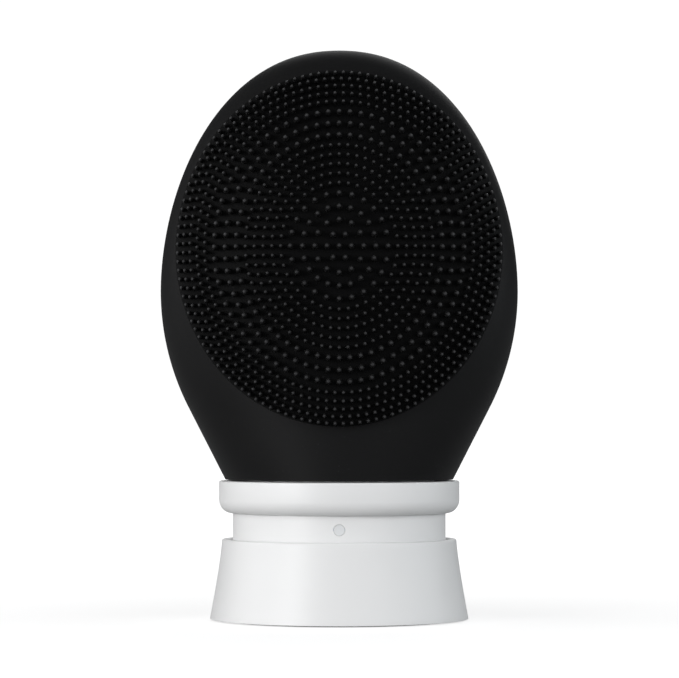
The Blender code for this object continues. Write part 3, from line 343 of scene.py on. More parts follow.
GREY = (0.5, 0.5, 0.5, 1.0)
GRAIN = Effect(
    "moulded_grain", {"Vector": None, "Grain": 4000.0, "Ripple": 1.0}, ("Height", "Mask"), wire_grain
)
DRIFT = Effect(
    "tone_drift",
    {"Vector": None, "Base": GREY, "Amount": 0.03, "Patch": 40.0, "Gloss": 0.4, "Gloss Spread": 0.04},
    ("Colour", "Roughness"),
    wire_drift,
)
EDGE_RUB = Effect(
    "edge_rub",
    {"Vector": None, "Base": GREY, "Rubbed": GREY, "Gloss": 0.4, "Amount": 0.5},
    ("Colour", "Roughness"),
    wire_edge_rub,
)
SPECKS = Effect(
    "scattered_specks",
    {"Vector": None, "Base": GREY, "Speck": GREY, "Density": 900.0, "Amount": 0.5},
    ("Colour", "Mask"),
    wire_specks,
)


# ---------------------------------------------------------------- finishes


@dataclass(frozen=True)
class Finish:
    """A moulded finish: its tone and gloss drift, its skin has a grain, and its edges are rubbed."""

    name: str
    colour: Colour
    roughness: float
    grain: float = 5000.0
    bump: float = 0.08
    depth: float = 0.02 * MM
    ripple: float = 1.5
    drift: float = 0.02
    gloss_drift: float = 0.03
    patch: float = 45.0
    rub: float = 0.4
    rub_gain: float = 1.15
    metallic: float = 0.0
    specular: float = 0.5
    coat: float = 0.0
    stretch: Triple = (1.0, 1.0, 1.0)

    def coordinates(self, graph: Graph) -> Socket:
        """Takes the piece's own coordinates, stretched where the skin has a direction.

        Args:
            graph: The material's graph.

        Returns:
            The coordinates.
        """
        place = graph.add("ShaderNodeTexCoord")
        mapping = graph.add("ShaderNodeMapping")
        mapping.inputs["Scale"].default_value = self.stretch
        graph.feed(mapping.inputs["Vector"], place.outputs["Object"])
        return mapping.outputs["Vector"]

    def pattern(self, graph: Graph, vector: Socket, colour: Socket, height: Socket) -> Skin:
        """Adds what only this finish has.

        Args:
            graph: The material's graph.
            vector: The piece's coordinates.
            colour: The colour so far.
            height: The skin's height so far.

        Returns:
            The new colour and height.
        """
        return colour, height

    def build(self) -> bpy.types.Material:
        """Makes the material.

        Returns:
            The material, with every texture in nodes.
        """
        made = bpy.data.materials.new(self.name)
        made.use_nodes = True
        made.diffuse_color = (*self.colour, 1.0)
        graph = Graph(made.node_tree)
        shader = made.node_tree.nodes["Principled BSDF"]
        vector = self.coordinates(graph)
        base = (*self.colour, 1.0)
        toned = DRIFT.place(
            graph, Vector=vector, Base=base, Amount=self.drift, Patch=self.patch,
            Gloss=self.roughness, Gloss_Spread=self.gloss_drift,
        )
        rubbed = tuple(min(1.0, part * self.rub_gain) for part in self.colour)
        worn = EDGE_RUB.place(
            graph, Vector=vector, Base=toned["Colour"], Rubbed=(*rubbed, 1.0),
            Gloss=toned["Roughness"], Amount=self.rub,
        )
        skin = GRAIN.place(graph, Vector=vector, Grain=self.grain, Ripple=self.ripple)
        colour, height = self.pattern(graph, vector, worn["Colour"], skin["Height"])
        graph.feed(shader.inputs["Base Color"], colour)
        graph.feed(shader.inputs["Roughness"], worn["Roughness"])
        shader.inputs["Metallic"].default_value = self.metallic
        shader.inputs["Specular IOR Level"].default_value = self.specular
        shader.inputs["Coat Weight"].default_value = self.coat
        bump = graph.add("ShaderNodeBump")
        bump.inputs["Strength"].default_value = self.bump
        bump.inputs["Distance"].default_value = self.depth
        graph.feed(bump.inputs["Height"], height)
        graph.feed(shader.inputs["Normal"], bump.outputs["Normal"])
        self.settle(graph, shader)
        return made

    def settle(self, graph: Graph, shader: bpy.types.Node) -> None:
        """Sets what only this finish's shader has."""


@dataclass(frozen=True)
class Silicone(Finish):
    """Moulded silicone: soft, matt, with a faint bloom and a little lint."""

    lint: Colour = (0.03, 0.03, 0.032)
    sheen: float = 0.02

    def pattern(self, graph: Graph, vector: Socket, colour: Socket, height: Socket) -> Skin:
        """Adds the lint.

        Args:
            graph: The material's graph.
            vector: The piece's coordinates.
            colour: The colour so far.
            height: The skin's height so far.

        Returns:
            The new colour and height.
        """
        specks = SPECKS.place(
            graph, Vector=vector, Base=colour, Speck=(*self.lint, 1.0), Density=700.0, Amount=0.35
        )
        return specks["Colour"], graph.math("ADD", height, specks["Mask"])

    def settle(self, graph: Graph, shader: bpy.types.Node) -> None:
        """Gives the silicone its bloom."""
        shader.inputs["Sheen Weight"].default_value = self.sheen
        shader.inputs["Sheen Roughness"].default_value = 0.6


@dataclass(frozen=True)
class PointSilicone(Silicone):
    """The sleeve's silicone on the touch points, with a painted highlight on their tips."""

    tip_highlight: Colour = (0.046, 0.046, 0.048)
    highlight_start: float = 0.95

    def pattern(self, graph: Graph, vector: Socket, colour: Socket, height: Socket) -> Skin:
        """Paints a highlight on the tips, by how far up its point each place is.

        Args:
            graph: The material's graph.
            vector: The piece's coordinates.
            colour: The colour so far.
            height: The skin's height so far.

        Returns:
            The new colour and height.
        """
        rise = graph.add("ShaderNodeAttribute", attribute_name="rise")
        # Painted highlight: the top of each point is paler, in broken patches.
        share = graph.spread(rise.outputs["Fac"], 0.0, 1.0, self.highlight_start, 1.0)
        patches = graph.spread(graph.noise(vector, 500.0), 0.7, 1.0, *NOISE_SPAN)
        broken = graph.math("MULTIPLY", share, patches)
        return graph.mix(broken, colour, (*self.tip_highlight, 1.0)), height


@dataclass(frozen=True)
class Winding(Finish):
    """Enamelled wire wound flat round the Z axis."""

    turns: float = 420.0
    gap: Colour = (0.10, 0.03, 0.015)
    proud: float = 4.0

    def pattern(self, graph: Graph, vector: Socket, colour: Socket, height: Socket) -> Skin:
        """Adds the turns, round and proud, with dark gaps.

        Args:
            graph: The material's graph.
            vector: The piece's coordinates.
            colour: The colour so far.
            height: The skin's height so far.

        Returns:
            The new colour and height.
        """
        turns = graph.add("ShaderNodeTexWave", wave_type="RINGS", rings_direction="Z")
        graph.feed(turns.inputs["Vector"], vector)
        turns.inputs["Scale"].default_value = self.turns
        turns.inputs["Distortion"].default_value = 0.4
        wire = turns.outputs["Fac"]
        shown = graph.mix(graph.spread(wire, 0.0, 1.0, 0.1, 0.5), (*self.gap, 1.0), colour)
        return shown, graph.math("ADD", graph.math("MULTIPLY", wire, self.proud), height)


@dataclass(frozen=True)
class BoardLacquer(Finish):
    """Green lacquer over copper tracks, with tinned pads."""

    track: Colour = (0.05, 0.26, 0.11)
    pad: Colour = (0.62, 0.60, 0.52)
    proud: float = 3.0
    upright: bool = False

    def pattern(self, graph: Graph, vector: Socket, colour: Socket, height: Socket) -> Skin:
        """Adds the tracks and the pads.

        Args:
            graph: The material's graph.
            vector: The piece's coordinates.
            colour: The colour so far.
            height: The skin's height so far.

        Returns:
            The new colour and height.
        """
        turned = graph.add("ShaderNodeMapping")
        turned.inputs["Rotation"].default_value = (math.pi / 2 if self.upright else 0.0, 0.0, 0.0)
        graph.feed(turned.inputs["Vector"], vector)
        tracks = graph.add("ShaderNodeTexBrick", offset=0.5, squash=0.6, squash_frequency=3)
        graph.feed(tracks.inputs["Vector"], turned.outputs["Vector"])
        tracks.inputs["Scale"].default_value = 260.0
        tracks.inputs["Mortar Size"].default_value = 0.05
        lines = tracks.outputs["Fac"]
        pads = graph.add("ShaderNodeTexVoronoi", feature="F1", distance="CHEBYCHEV")
        graph.feed(pads.inputs["Vector"], turned.outputs["Vector"])
        pads.inputs["Scale"].default_value = 420.0
        dots = graph.spread(pads.outputs["Distance"], 1.0, 0.0, 0.16, 0.2)
        chosen = graph.spread(graph.noise(turned.outputs["Vector"], 120.0, 0.0), 0.0, 1.0, 0.55, 0.57)
        dots = graph.math("MULTIPLY", dots, chosen)
        laid = graph.mix(lines, colour, (*self.track, 1.0))
        metal = graph.math("MULTIPLY", graph.math("MAXIMUM", lines, dots), self.proud)
        raised = graph.math("ADD", height, metal)
        return graph.mix(dots, laid, (*self.pad, 1.0)), raised


@dataclass(frozen=True)
class ShrinkWrap(Finish):
    """Printed film shrunk on a cell, with a plain band at each end."""

    band: Colour = (0.60, 0.62, 0.64)
    band_width: float = 1.6 * MM
    band_blur: float = 0.1 * MM
    low: float = 0.0
    high: float = 1.0

    def pattern(self, graph: Graph, vector: Socket, colour: Socket, height: Socket) -> Skin:
        """Adds the bands at the ends.

        Args:
            graph: The material's graph.
            vector: The piece's coordinates.
            colour: The colour so far.
            height: The skin's height so far.

        Returns:
            The new colour and height.
        """
        parts = graph.add("ShaderNodeSeparateXYZ")
        graph.feed(parts.inputs[0], vector)
        middle = (self.low + self.high) / 2
        reach = (self.high - self.low) / 2
        away = graph.math("ABSOLUTE", graph.math("SUBTRACT", parts.outputs["Z"], middle))
        start = reach - self.band_width
        ends = graph.spread(away, 0.0, 1.0, start, start + self.band_blur)
        return graph.mix(ends, colour, (*self.band, 1.0)), height


@dataclass(frozen=True)
class ClearPlastic(Finish):
    """Clear moulded plastic, a little milky."""

    def settle(self, graph: Graph, shader: bpy.types.Node) -> None:
        """Lets light through the plastic."""
        shader.inputs["Transmission Weight"].default_value = 0.08
        shader.inputs["IOR"].default_value = 1.49


def finishes() -> dict[Slot, bpy.types.Material]:
    """Builds the finish of every slot.

    Returns:
        The material of each slot.
    """
    low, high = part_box("battery_cell")
    brushed = (0.15, 0.15, 2.2)
    made = {
        Slot.WHITE_PLASTIC: Finish("white_plastic_moulded", (0.80, 0.80, 0.80), 0.42, rub_gain=1.06),
        Slot.BLACK_SILICONE: Silicone(
            "black_silicone_moulded", (0.0050, 0.0050, 0.0053), 0.5, specular=0.095, bump=0.12, drift=0.08
        ),
        Slot.BLACK_PLASTIC: Finish(
            "black_plastic_moulded", (0.016, 0.016, 0.017), 0.42, bump=0.15, drift=0.08, rub_gain=2.0
        ),
        Slot.GREY_PLASTIC: Finish("grey_plastic_moulded", (0.25, 0.26, 0.27), 0.5, bump=0.15, drift=0.04),
        Slot.FOOT_RUBBER: Finish(
            "foot_rubber_matt", (0.035, 0.035, 0.036), 0.85, grain=2600.0, bump=0.4, drift=0.12,
            specular=0.3,
        ),
        Slot.STEEL: Finish(
            "steel_drawn", (0.62, 0.62, 0.63), 0.28, grain=2600.0, bump=0.12, ripple=0.4, metallic=1.0,
            stretch=brushed, drift=0.06, gloss_drift=0.08,
        ),
        Slot.COPPER: Winding(
            "copper_enamelled", (0.72, 0.33, 0.14), 0.3, bump=0.5, depth=0.05 * MM, metallic=1.0
        ),
        Slot.FERRITE: Finish(
            "ferrite_pressed", (0.06, 0.06, 0.064), 0.72, grain=3200.0, bump=0.5, drift=0.2, rub_gain=1.8
        ),
        Slot.CIRCUIT_BOARD: BoardLacquer("circuit_board_lacquered", (0.018, 0.15, 0.065), 0.35, bump=0.3),
        Slot.CELL_WRAP: ShrinkWrap(
            "cell_wrap_film", (0.035, 0.15, 0.40), 0.3, bump=0.1, ripple=4.0, coat=0.3, low=low.z,
            high=high.z,
        ),
        Slot.CLEAR_LENS: ClearPlastic("clear_lens_milky", (0.84, 0.86, 0.87), 0.22, bump=0.05),
        Slot.LEAD_RED: Finish("lead_red_sheath", (0.52, 0.02, 0.02), 0.42, bump=0.1, drift=0.08),
        Slot.LEAD_BLACK: Finish("lead_black_sheath", (0.02, 0.02, 0.021), 0.42, bump=0.1, drift=0.1),
    }
    return {slot: finish.build() for slot, finish in made.items()}


# ---------------------------------------------------------------- making shapes


FORWARD = Matrix.Rotation(math.pi / 2, 3, "X")
BACKWARD = Matrix.Rotation(-math.pi / 2, 3, "X")


def faced(bm: bmesh.types.BMesh, turn: Matrix, place: Triple = (0.0, 0.0, 0.0)) -> None:
    """Lays down a shape that stands on the Z axis, and moves it.

    Args:
        bm: The shape.
        turn: FORWARD or BACKWARD.
        place: Where its origin goes.
    """
    bmesh.ops.rotate(bm, cent=(0, 0, 0), matrix=turn, verts=bm.verts)
    bmesh.ops.translate(bm, vec=place, verts=bm.verts)


def rounded(bm: bmesh.types.BMesh, edges: list[bmesh.types.BMEdge], radius: float, segments: int) -> None:
    """Rounds edges of a shape.

    Args:
        bm: The shape.
        edges: The edges.
        radius: How far they are rounded.
        segments: How many faces the rounding has.
    """
    bmesh.ops.bevel(
        bm, geom=edges, offset=radius, offset_type="OFFSET", affect="EDGES", segments=segments,
        profile=0.5, material=-1,
    )


def cut_below(bm: bmesh.types.BMesh, height: float) -> None:
    """Removes what a shape has below a height."""
    bmesh.ops.bisect_plane(
        bm, geom=bm.verts[:] + bm.edges[:] + bm.faces[:], dist=MERGE, plane_co=(0, 0, height),
        plane_no=(0, 0, 1), clear_inner=True, clear_outer=False,
    )


def as_mesh(name: str, bm: bmesh.types.BMesh) -> bpy.types.Mesh:
    """Turns a shape into a mesh.

    Args:
        name: The mesh's name.
        bm: The shape, which is used up.

    Returns:
        The mesh.
    """
    mesh = bpy.data.meshes.new(name)
    bm.to_mesh(mesh)
    bm.free()
    return mesh


def in_scene(name: str, data: bpy.types.ID) -> bpy.types.Object:
    """Makes an object that holds some data, and puts it in the scene.

    Args:
        name: The object's name.
        data: Its mesh, light or camera.

    Returns:
        The object.
    """
    made = bpy.data.objects.new(name, data)
    bpy.context.scene.collection.objects.link(made)
    return made


def aimed(name: str, data: bpy.types.ID, place: Triple, target: Triple) -> bpy.types.Object:
    """Puts a light or a camera in the scene, turned to a target.

    Args:
        name: The object's name.
        data: The light or the camera.
        place: Where it is.
        target: The point that it faces.

    Returns:
        The object.
    """
    made = in_scene(name, data)
    made.location = place
    made.rotation_euler = (Vector(target) - Vector(place)).to_track_quat("-Z", "Y").to_euler()
    return made


@dataclass(frozen=True)
class Corner:
    """A corner of a turned profile, and how far it is rounded."""

    radius: float
    height: float
    rounding: float = 0.0


@dataclass
class Bench:
    """Where pieces are made: it holds the finishes and counts what is made."""

    dress: dict[Slot, bpy.types.Material]
    sharp_angle: float = math.radians(32)
    made: dict[str, int] = field(default_factory=dict)

    def turned(self, corners: list[Corner], steps: int = 144, closed: bool = False) -> bmesh.types.BMesh:
        """Turns a profile about the Z axis and rounds its corners.

        Args:
            corners: The profile, in order.
            steps: How many faces go round.
            closed: Whether the profile's ends are joined.

        Returns:
            The turned shape.
        """
        bm = bmesh.new()
        verts = [bm.verts.new((corner.radius, 0.0, corner.height)) for corner in corners]
        edges = [bm.edges.new(pair) for pair in zip(verts, verts[1:])]
        if closed:
            edges.append(bm.edges.new((verts[-1], verts[0])))
        bmesh.ops.spin(
            bm, geom=verts + edges, cent=(0, 0, 0), axis=(0, 0, 1), angle=2 * math.pi, steps=steps,
            use_merge=True, use_duplicate=False,
        )
        bmesh.ops.remove_doubles(bm, verts=bm.verts, dist=MERGE)
        bmesh.ops.dissolve_degenerate(bm, edges=bm.edges, dist=MERGE / 2)
        for corner in corners:
            if corner.rounding:
                self.round_ring(bm, corner)
        bmesh.ops.recalc_face_normals(bm, faces=bm.faces)
        return bm

    def round_ring(self, bm: bmesh.types.BMesh, corner: Corner) -> None:
        """Rounds the ring of edges that a corner has become.

        Args:
            bm: The turned shape.
            corner: The corner.
        """

        def on_ring(vert: bmesh.types.BMVert) -> bool:
            """Whether a vertex is on the corner's ring."""
            away = math.hypot(vert.co.x, vert.co.y) - corner.radius
            return abs(away) < 2 * MERGE and abs(vert.co.z - corner.height) < 2 * MERGE

        ring = [edge for edge in bm.edges if on_ring(edge.verts[0]) and on_ring(edge.verts[1])]
        rounded(bm, ring, corner.rounding, 4)

    def block(
        self, low: Vector, high: Vector, rounding: float, axis: int | None = None
    ) -> bmesh.types.BMesh:
        """A box between two corners, rounded along one axis, or all round.

        Args:
            low: Lowest corner.
            high: Highest corner.
            rounding: Radius of its edges.
            axis: The axis that the rounded edges run along, or None for every edge.

        Returns:
            The box.
        """
        bm = bmesh.new()
        bmesh.ops.create_cube(bm, size=1.0)
        bmesh.ops.scale(bm, vec=high - low, verts=bm.verts)
        bmesh.ops.translate(bm, vec=(high + low) / 2, verts=bm.verts)
        edges = bm.edges[:]
        if axis is not None:
            edges = [e for e in edges if abs((e.verts[0].co - e.verts[1].co).normalized()[axis]) > 0.9]
        rounded(bm, edges, rounding, 6)
        return bm

    def piece(
        self, name: str, bm: bmesh.types.BMesh, slot: Slot, body: Body, replaces: tuple[str, ...],
        cutters: tuple[bmesh.types.BMesh, ...] = (), finish: bpy.types.Material | None = None,
    ) -> bpy.types.Object:
        """Makes a shape into a finished piece that rides on its body.

        Args:
            name: The piece's name.
            bm: Its shape, which is used up.
            slot: The slot that its finish comes from.
            body: The body that it rides on.
            replaces: The solids that it stands for.
            cutters: Shapes that are taken away from it, which are used up.
            finish: Its material, where it isn't the slot's own.

        Returns:
            The piece.
        """
        made = in_scene(name, as_mesh(name, bm))
        for number, cutter in enumerate(cutters):
            cut_name = f"{name}_cut_{number}"
            self.take_away(made, in_scene(cut_name, as_mesh(cut_name, cutter)))
        made.data.shade_smooth()
        made.data.set_sharp_from_angle(angle=self.sharp_angle)
        made.data.materials.clear()
        made.data.materials.append(finish or self.dress[slot])
        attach(made, body.value)
        if replaces:
            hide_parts(*replaces)
        self.made[name] = len(made.data.polygons)
        LOG.info("%s: %d faces, on %s", name, len(made.data.polygons), body.value)
        return made

    def take_away(self, target: bpy.types.Object, cutter: bpy.types.Object) -> None:
        """Cuts one shape out of another.

        Args:
            target: What is cut.
            cutter: The shape that is cut out of it, which is removed.
        """
        change = target.modifiers.new("cut", "BOOLEAN")
        change.object = cutter
        change.operation = "DIFFERENCE"
        change.solver = "EXACT"
        graph = bpy.context.evaluated_depsgraph_get()
        cut = bpy.data.meshes.new_from_object(target.evaluated_get(graph))
        target.modifiers.clear()
        target.data = cut
        bpy.data.objects.remove(cutter)


# ---------------------------------------------------------------- stand


@dataclass
class ChargingStand:
    """The stand: skirt and well, base plate, foot ring and inlet."""

    bench: Bench
    well_floor: float = 9.5 * MM
    well_underside: float = 8.1 * MM
    well_radius: float = 24.5 * MM
    rim_radius: float = 26.2 * MM
    skirt_wall: float = 1.6 * MM
    flare_power: float = 1.25
    flare_steps: int = 14
    rim_round: float = 0.38 * MM
    well_round: float = 0.6 * MM
    thin_edge: float = 0.15 * MM
    plate_gap: float = 0.3 * MM
    plate_round: float = 0.3 * MM
    groove_round: float = 0.1 * MM
    groove_side_gap: float = 0.15 * MM
    groove_inset: float = 2.55 * MM
    screw_gap: float = 0.3 * MM
    screw_head_tall: float = 1.15 * MM
    screw_shank: float = 1.4 * MM
    foot_width: float = 2.4 * MM
    rib_tall: float = 0.25 * MM
    rib_round: float = 0.08 * MM
    ribs: int = 4
    mouth_grow: Triple = (0.28 * MM, 1.5 * MM, 0.15 * MM)
    mouth_reach: float = 4.0 * MM
    mouth_round: float = 1.7 * MM
    socket_round: float = 1.55 * MM
    socket_skin: float = 0.35 * MM
    socket_hollow_round: float = 1.2 * MM
    tongue_half: Triple = (3.2 * MM, 0.0, 0.35 * MM)
    tongue_back: float = 0.9 * MM
    tongue_front: float = 1.2 * MM
    tongue_round: float = 0.12 * MM
    contact_size: Triple = (0.32 * MM, 3.0 * MM, 0.06 * MM)
    contact_pitch: float = 0.72 * MM
    contact_up: float = 0.36 * MM
    contacts_in_row: int = 8

    def build(self) -> None:
        """Builds every piece of the stand."""
        self.skirt()
        self.base_plate()
        self.foot()
        self.inlet()

    def skirt_radius(self, height: float) -> float:
        """Radius of the skirt at a height.

        Args:
            height: Height above the floor.

        Returns:
            The outer radius there.
        """
        low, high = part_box("stand_shell")
        fall = (high.z - height) / (high.z - low.z)
        return self.rim_radius + (high.x - self.rim_radius) * fall**self.flare_power

    def skirt(self) -> None:
        """Flared skirt, rim and well in one moulding, open to the rear for the inlet."""
        low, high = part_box("stand_shell")
        plate_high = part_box("stand_base_plate")[1]
        seat = plate_high.x + self.plate_gap
        ledge = plate_high.z + self.plate_gap
        corners = [
            Corner(0.0, self.well_floor),
            Corner(self.well_radius, self.well_floor, self.well_round),
            Corner(self.well_radius, high.z, self.rim_round),
            Corner(self.rim_radius, high.z, self.rim_round),
        ]
        for step in range(1, self.flare_steps):
            height = high.z + (low.z - high.z) * step / self.flare_steps
            corners.append(Corner(self.skirt_radius(height), height))
        corners += [
            Corner(high.x, low.z, self.thin_edge),
            Corner(seat, low.z),
            Corner(seat, ledge),
            Corner(self.skirt_radius(ledge) - self.skirt_wall, ledge),
            Corner(self.skirt_radius(self.well_underside) - self.skirt_wall, self.well_underside),
            Corner(0.0, self.well_underside),
        ]
        inlet_low, inlet_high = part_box("charge_inlet")
        grow = Vector(self.mouth_grow)
        reach = Vector((0.0, self.mouth_reach, 0.0))
        mouth = self.bench.block(inlet_low - grow, inlet_high + grow + reach, self.mouth_round, axis=1)
        shell = self.bench.turned(corners)
        self.bench.piece("stand_skirt", shell, Slot.WHITE_PLASTIC, Body.STAND, ("stand_shell",), (mouth,))

    def base_plate(self) -> None:
        """Plate that closes the stand from below, grooved for its foot and sunk for its screws."""
        low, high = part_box("stand_base_plate")
        foot_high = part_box("foot_ring")[1]
        groove_out, groove_in = foot_high.x + self.groove_side_gap, foot_high.x - self.groove_inset
        groove_top = foot_high.z + self.plate_gap
        corners = [
            Corner(0.0, high.z),
            Corner(high.x, high.z, self.thin_edge),
            Corner(high.x, low.z, self.plate_round),
            Corner(groove_out, low.z, self.groove_round),
            Corner(groove_out, groove_top),
            Corner(groove_in, groove_top),
            Corner(groove_in, low.z, self.groove_round),
            Corner(0.0, low.z),
        ]
        sinks = tuple(self.screw_sink(f"stand_screw_{number}", high.z + MM) for number in (1, 2, 3))
        plate = self.bench.turned(corners, 120)
        self.bench.piece("base_plate", plate, Slot.WHITE_PLASTIC, Body.STAND, ("stand_base_plate",), sinks)

    def screw_sink(self, screw: str, top: float) -> bmesh.types.BMesh:
        """The hole for a screw: wide for its head, narrow for its shank.

        Args:
            screw: The screw's node.
            top: Height that the hole goes up to.

        Returns:
            The shape to cut.
        """
        low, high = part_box(screw)
        middle = (low + high) / 2
        head = (high.x - low.x) / 2 + self.screw_gap
        step = low.z + self.screw_head_tall
        profile = [
            Corner(0.0, 0.0),
            Corner(head, 0.0),
            Corner(head, step),
            Corner(self.screw_shank, step),
            Corner(self.screw_shank, top),
            Corner(0.0, top),
        ]
        sink = self.bench.turned(profile, 32)
        bmesh.ops.translate(sink, vec=(middle.x, middle.y, 0.0), verts=sink.verts)
        return sink

    def foot(self) -> None:
        """Rubber ring with fine grip ribs under it."""
        low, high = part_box("foot_ring")
        inner = high.x - self.foot_width
        corners = [Corner(inner, high.z), Corner(high.x, high.z)]
        corners.append(Corner(high.x, low.z + self.rib_tall, self.groove_round))
        pitch = (high.x - inner) / self.ribs
        for rib in range(self.ribs):
            outer = high.x - pitch * rib
            corners.append(Corner(outer - pitch * 0.25, low.z, self.rib_round))
            corners.append(Corner(outer - pitch * 0.75, low.z, self.rib_round))
            corners.append(Corner(outer - pitch, low.z + self.rib_tall))
        ring = self.bench.turned(corners, 120, closed=True)
        self.bench.piece("foot_grip", ring, Slot.FOOT_RUBBER, Body.STAND, ("foot_ring",))

    def inlet(self) -> None:
        """Socket shell with rounded ends, and the tongue inside with its contacts."""
        low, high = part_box("charge_inlet")
        skin = Vector((self.socket_skin, 0.0, self.socket_skin))
        outer = self.bench.block(low, high, self.socket_round, axis=1)
        ahead = Vector((0.0, MM, 0.0))
        inside = (low + skin + ahead, high - skin + ahead)
        hollow = self.bench.block(*inside, self.socket_hollow_round, axis=1)
        self.bench.piece("inlet_shell", outer, Slot.STEEL, Body.STAND, ("charge_inlet",), (hollow,))
        middle = (low + high) / 2
        half = Vector(self.tongue_half)
        tongue_low = Vector((middle.x, low.y + self.tongue_back, middle.z)) - half
        tongue_high = Vector((middle.x, high.y - self.tongue_front, middle.z)) + half
        tongue = self.bench.block(tongue_low, tongue_high, self.tongue_round)
        self.bench.piece("inlet_tongue", tongue, Slot.BLACK_PLASTIC, Body.STAND, ("charge_inlet",))
        contacts = bmesh.new()
        for side in (-1, 1):
            for number in range(self.contacts_in_row):
                x = middle.x + (number - (self.contacts_in_row - 1) / 2) * self.contact_pitch
                y = (tongue_low.y + tongue_high.y) / 2 + self.tongue_back
                place = Matrix.Translation((x, y, middle.z + side * self.contact_up))
                size = Matrix.Diagonal((*self.contact_size, 1.0))
                bmesh.ops.create_cube(contacts, size=1.0, matrix=place @ size)
        self.bench.piece("inlet_contacts", contacts, Slot.COPPER, Body.STAND, ("charge_inlet",))


# ---------------------------------------------------------------- neck and collar


@dataclass
class Neck:
    """The neck that drops into the stand, its base, its light guide and the collar above it."""

    bench: Bench
    wall: float = 3.0 * MM
    spigot_radius: float = 21.25 * MM
    spigot_wall: float = 3.5 * MM
    ledge: float = 1.0 * MM
    guide_bend: float = 1.4 * MM
    guide_gap: float = 0.06 * MM
    guide_bend_steps: int = 10
    spigot_round: float = 0.4 * MM
    shoulder_round: float = 0.2 * MM
    foot_round: float = 0.5 * MM
    ledge_round: float = 0.15 * MM
    gap: float = 0.3 * MM
    bore_taper: float = 3.0 * MM
    base_edge: float = 0.1 * MM
    base_round: float = 0.25 * MM
    dish_deep: float = 0.3 * MM
    dish_round: float = 0.2 * MM
    dish_share: tuple[float, float] = (0.62, 0.60)
    collar_round: float = 0.35 * MM
    collar_rise: float = 3.0 * MM
    collar_steps: int = 12

    def build(self) -> None:
        """Builds every piece of the neck."""
        self.tube()
        self.base()
        self.light_guide()
        self.collar()

    def tube(self) -> None:
        """Neck tube with its spigot, and a hole for the light."""
        low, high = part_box("neck_housing")
        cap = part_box("neck_cap")[1]
        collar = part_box("collar_ring")[1]
        bore = high.x - self.wall
        spigot_bore = self.spigot_radius - self.spigot_wall
        corners = [
            Corner(self.spigot_radius, high.z, self.spigot_round),
            Corner(self.spigot_radius, collar.z),
            Corner(high.x, collar.z, self.shoulder_round),
            Corner(high.x, low.z, self.foot_round),
            Corner(bore + self.ledge, low.z, self.ledge_round),
            Corner(bore + self.ledge, cap.z + self.gap),
            Corner(bore, cap.z + self.gap),
            Corner(bore, collar.z - self.bore_taper),
            Corner(spigot_bore, collar.z),
            Corner(spigot_bore, high.z),
        ]
        guide_low, guide_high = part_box("light_pipe")
        radius = (guide_high.x - guide_low.x) / 2
        middle = guide_high.z - radius
        hole = self.rod(radius + self.guide_gap, high.x - self.wall - MM, high.x + MM, middle)
        tube = self.bench.turned(corners, closed=True)
        self.bench.piece("neck_tube", tube, Slot.WHITE_PLASTIC, Body.SCRUBBER, ("neck_housing",), (hole,))

    def rod(self, radius: float, start: float, end: float, height: float) -> bmesh.types.BMesh:
        """A rod that points forward.

        Args:
            radius: Its radius.
            start: Its near end's distance from the axis.
            end: Its far end's distance from the axis.
            height: Its height above the floor.

        Returns:
            The rod.
        """
        corners = [Corner(0, start), Corner(radius, start), Corner(radius, end), Corner(0, end)]
        rod = self.bench.turned(corners, 40)
        faced(rod, FORWARD, (0, 0, height))
        return rod

    def base(self) -> None:
        """Disc that closes the neck from below, dished a little at its middle."""
        low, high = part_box("neck_cap")
        corners = [
            Corner(0.0, high.z),
            Corner(high.x, high.z, self.base_edge),
            Corner(high.x, low.z, self.base_round),
            Corner(high.x * self.dish_share[0], low.z, self.dish_round),
            Corner(high.x * self.dish_share[1], low.z + self.dish_deep, self.dish_round),
            Corner(0.0, low.z + self.dish_deep),
        ]
        disc = self.bench.turned(corners, 120)
        self.bench.piece("neck_base", disc, Slot.WHITE_PLASTIC, Body.SCRUBBER, ("neck_cap",))

    def light_guide(self) -> None:
        """Milky light guide: up from the lamp, round a bend and forward, flush with the neck."""
        low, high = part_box("light_pipe")
        radius = (high.x - low.x) / 2
        middle = high.z - radius
        bend_y = high.y - radius - self.guide_bend
        bm = bmesh.new()
        bmesh.ops.create_circle(bm, cap_ends=True, segments=40, radius=radius)
        faced(bm, FORWARD, (0, low.y, middle))
        end = self.drawn_out(bm, bm.faces[:], (0, bend_y - low.y, 0), True)
        centre = (0, bend_y, middle - self.guide_bend)
        turned = bmesh.ops.spin(
            bm, geom=end, cent=centre, axis=(1, 0, 0), angle=-math.pi / 2, steps=self.guide_bend_steps
        )
        faces = [item for item in turned["geom_last"] if isinstance(item, bmesh.types.BMFace)]
        self.drawn_out(bm, faces, (0, 0, low.z - middle + self.guide_bend))
        bmesh.ops.recalc_face_normals(bm, faces=bm.faces)
        milky = Finish("light_guide_milky", (0.70, 0.71, 0.72), 0.32, bump=0.1, drift=0.1).build()
        self.bench.piece(
            "light_guide", bm, Slot.CLEAR_LENS, Body.SCRUBBER, ("light_pipe",), finish=milky
        )

    def drawn_out(
        self, bm: bmesh.types.BMesh, faces: list[bmesh.types.BMFace], move: Triple, keep: bool = False
    ) -> list[bmesh.types.BMFace]:
        """Extrudes faces by a move.

        Args:
            bm: The mesh that the faces are in.
            faces: The faces to extrude.
            move: How far they go.
            keep: Whether the faces stay behind as a cap.

        Returns:
            The faces at the far end.
        """
        grown = bmesh.ops.extrude_face_region(bm, geom=faces, use_keep_orig=keep)["geom"]
        verts = [item for item in grown if isinstance(item, bmesh.types.BMVert)]
        bmesh.ops.translate(bm, vec=move, verts=verts)
        return [item for item in grown if isinstance(item, bmesh.types.BMFace)]

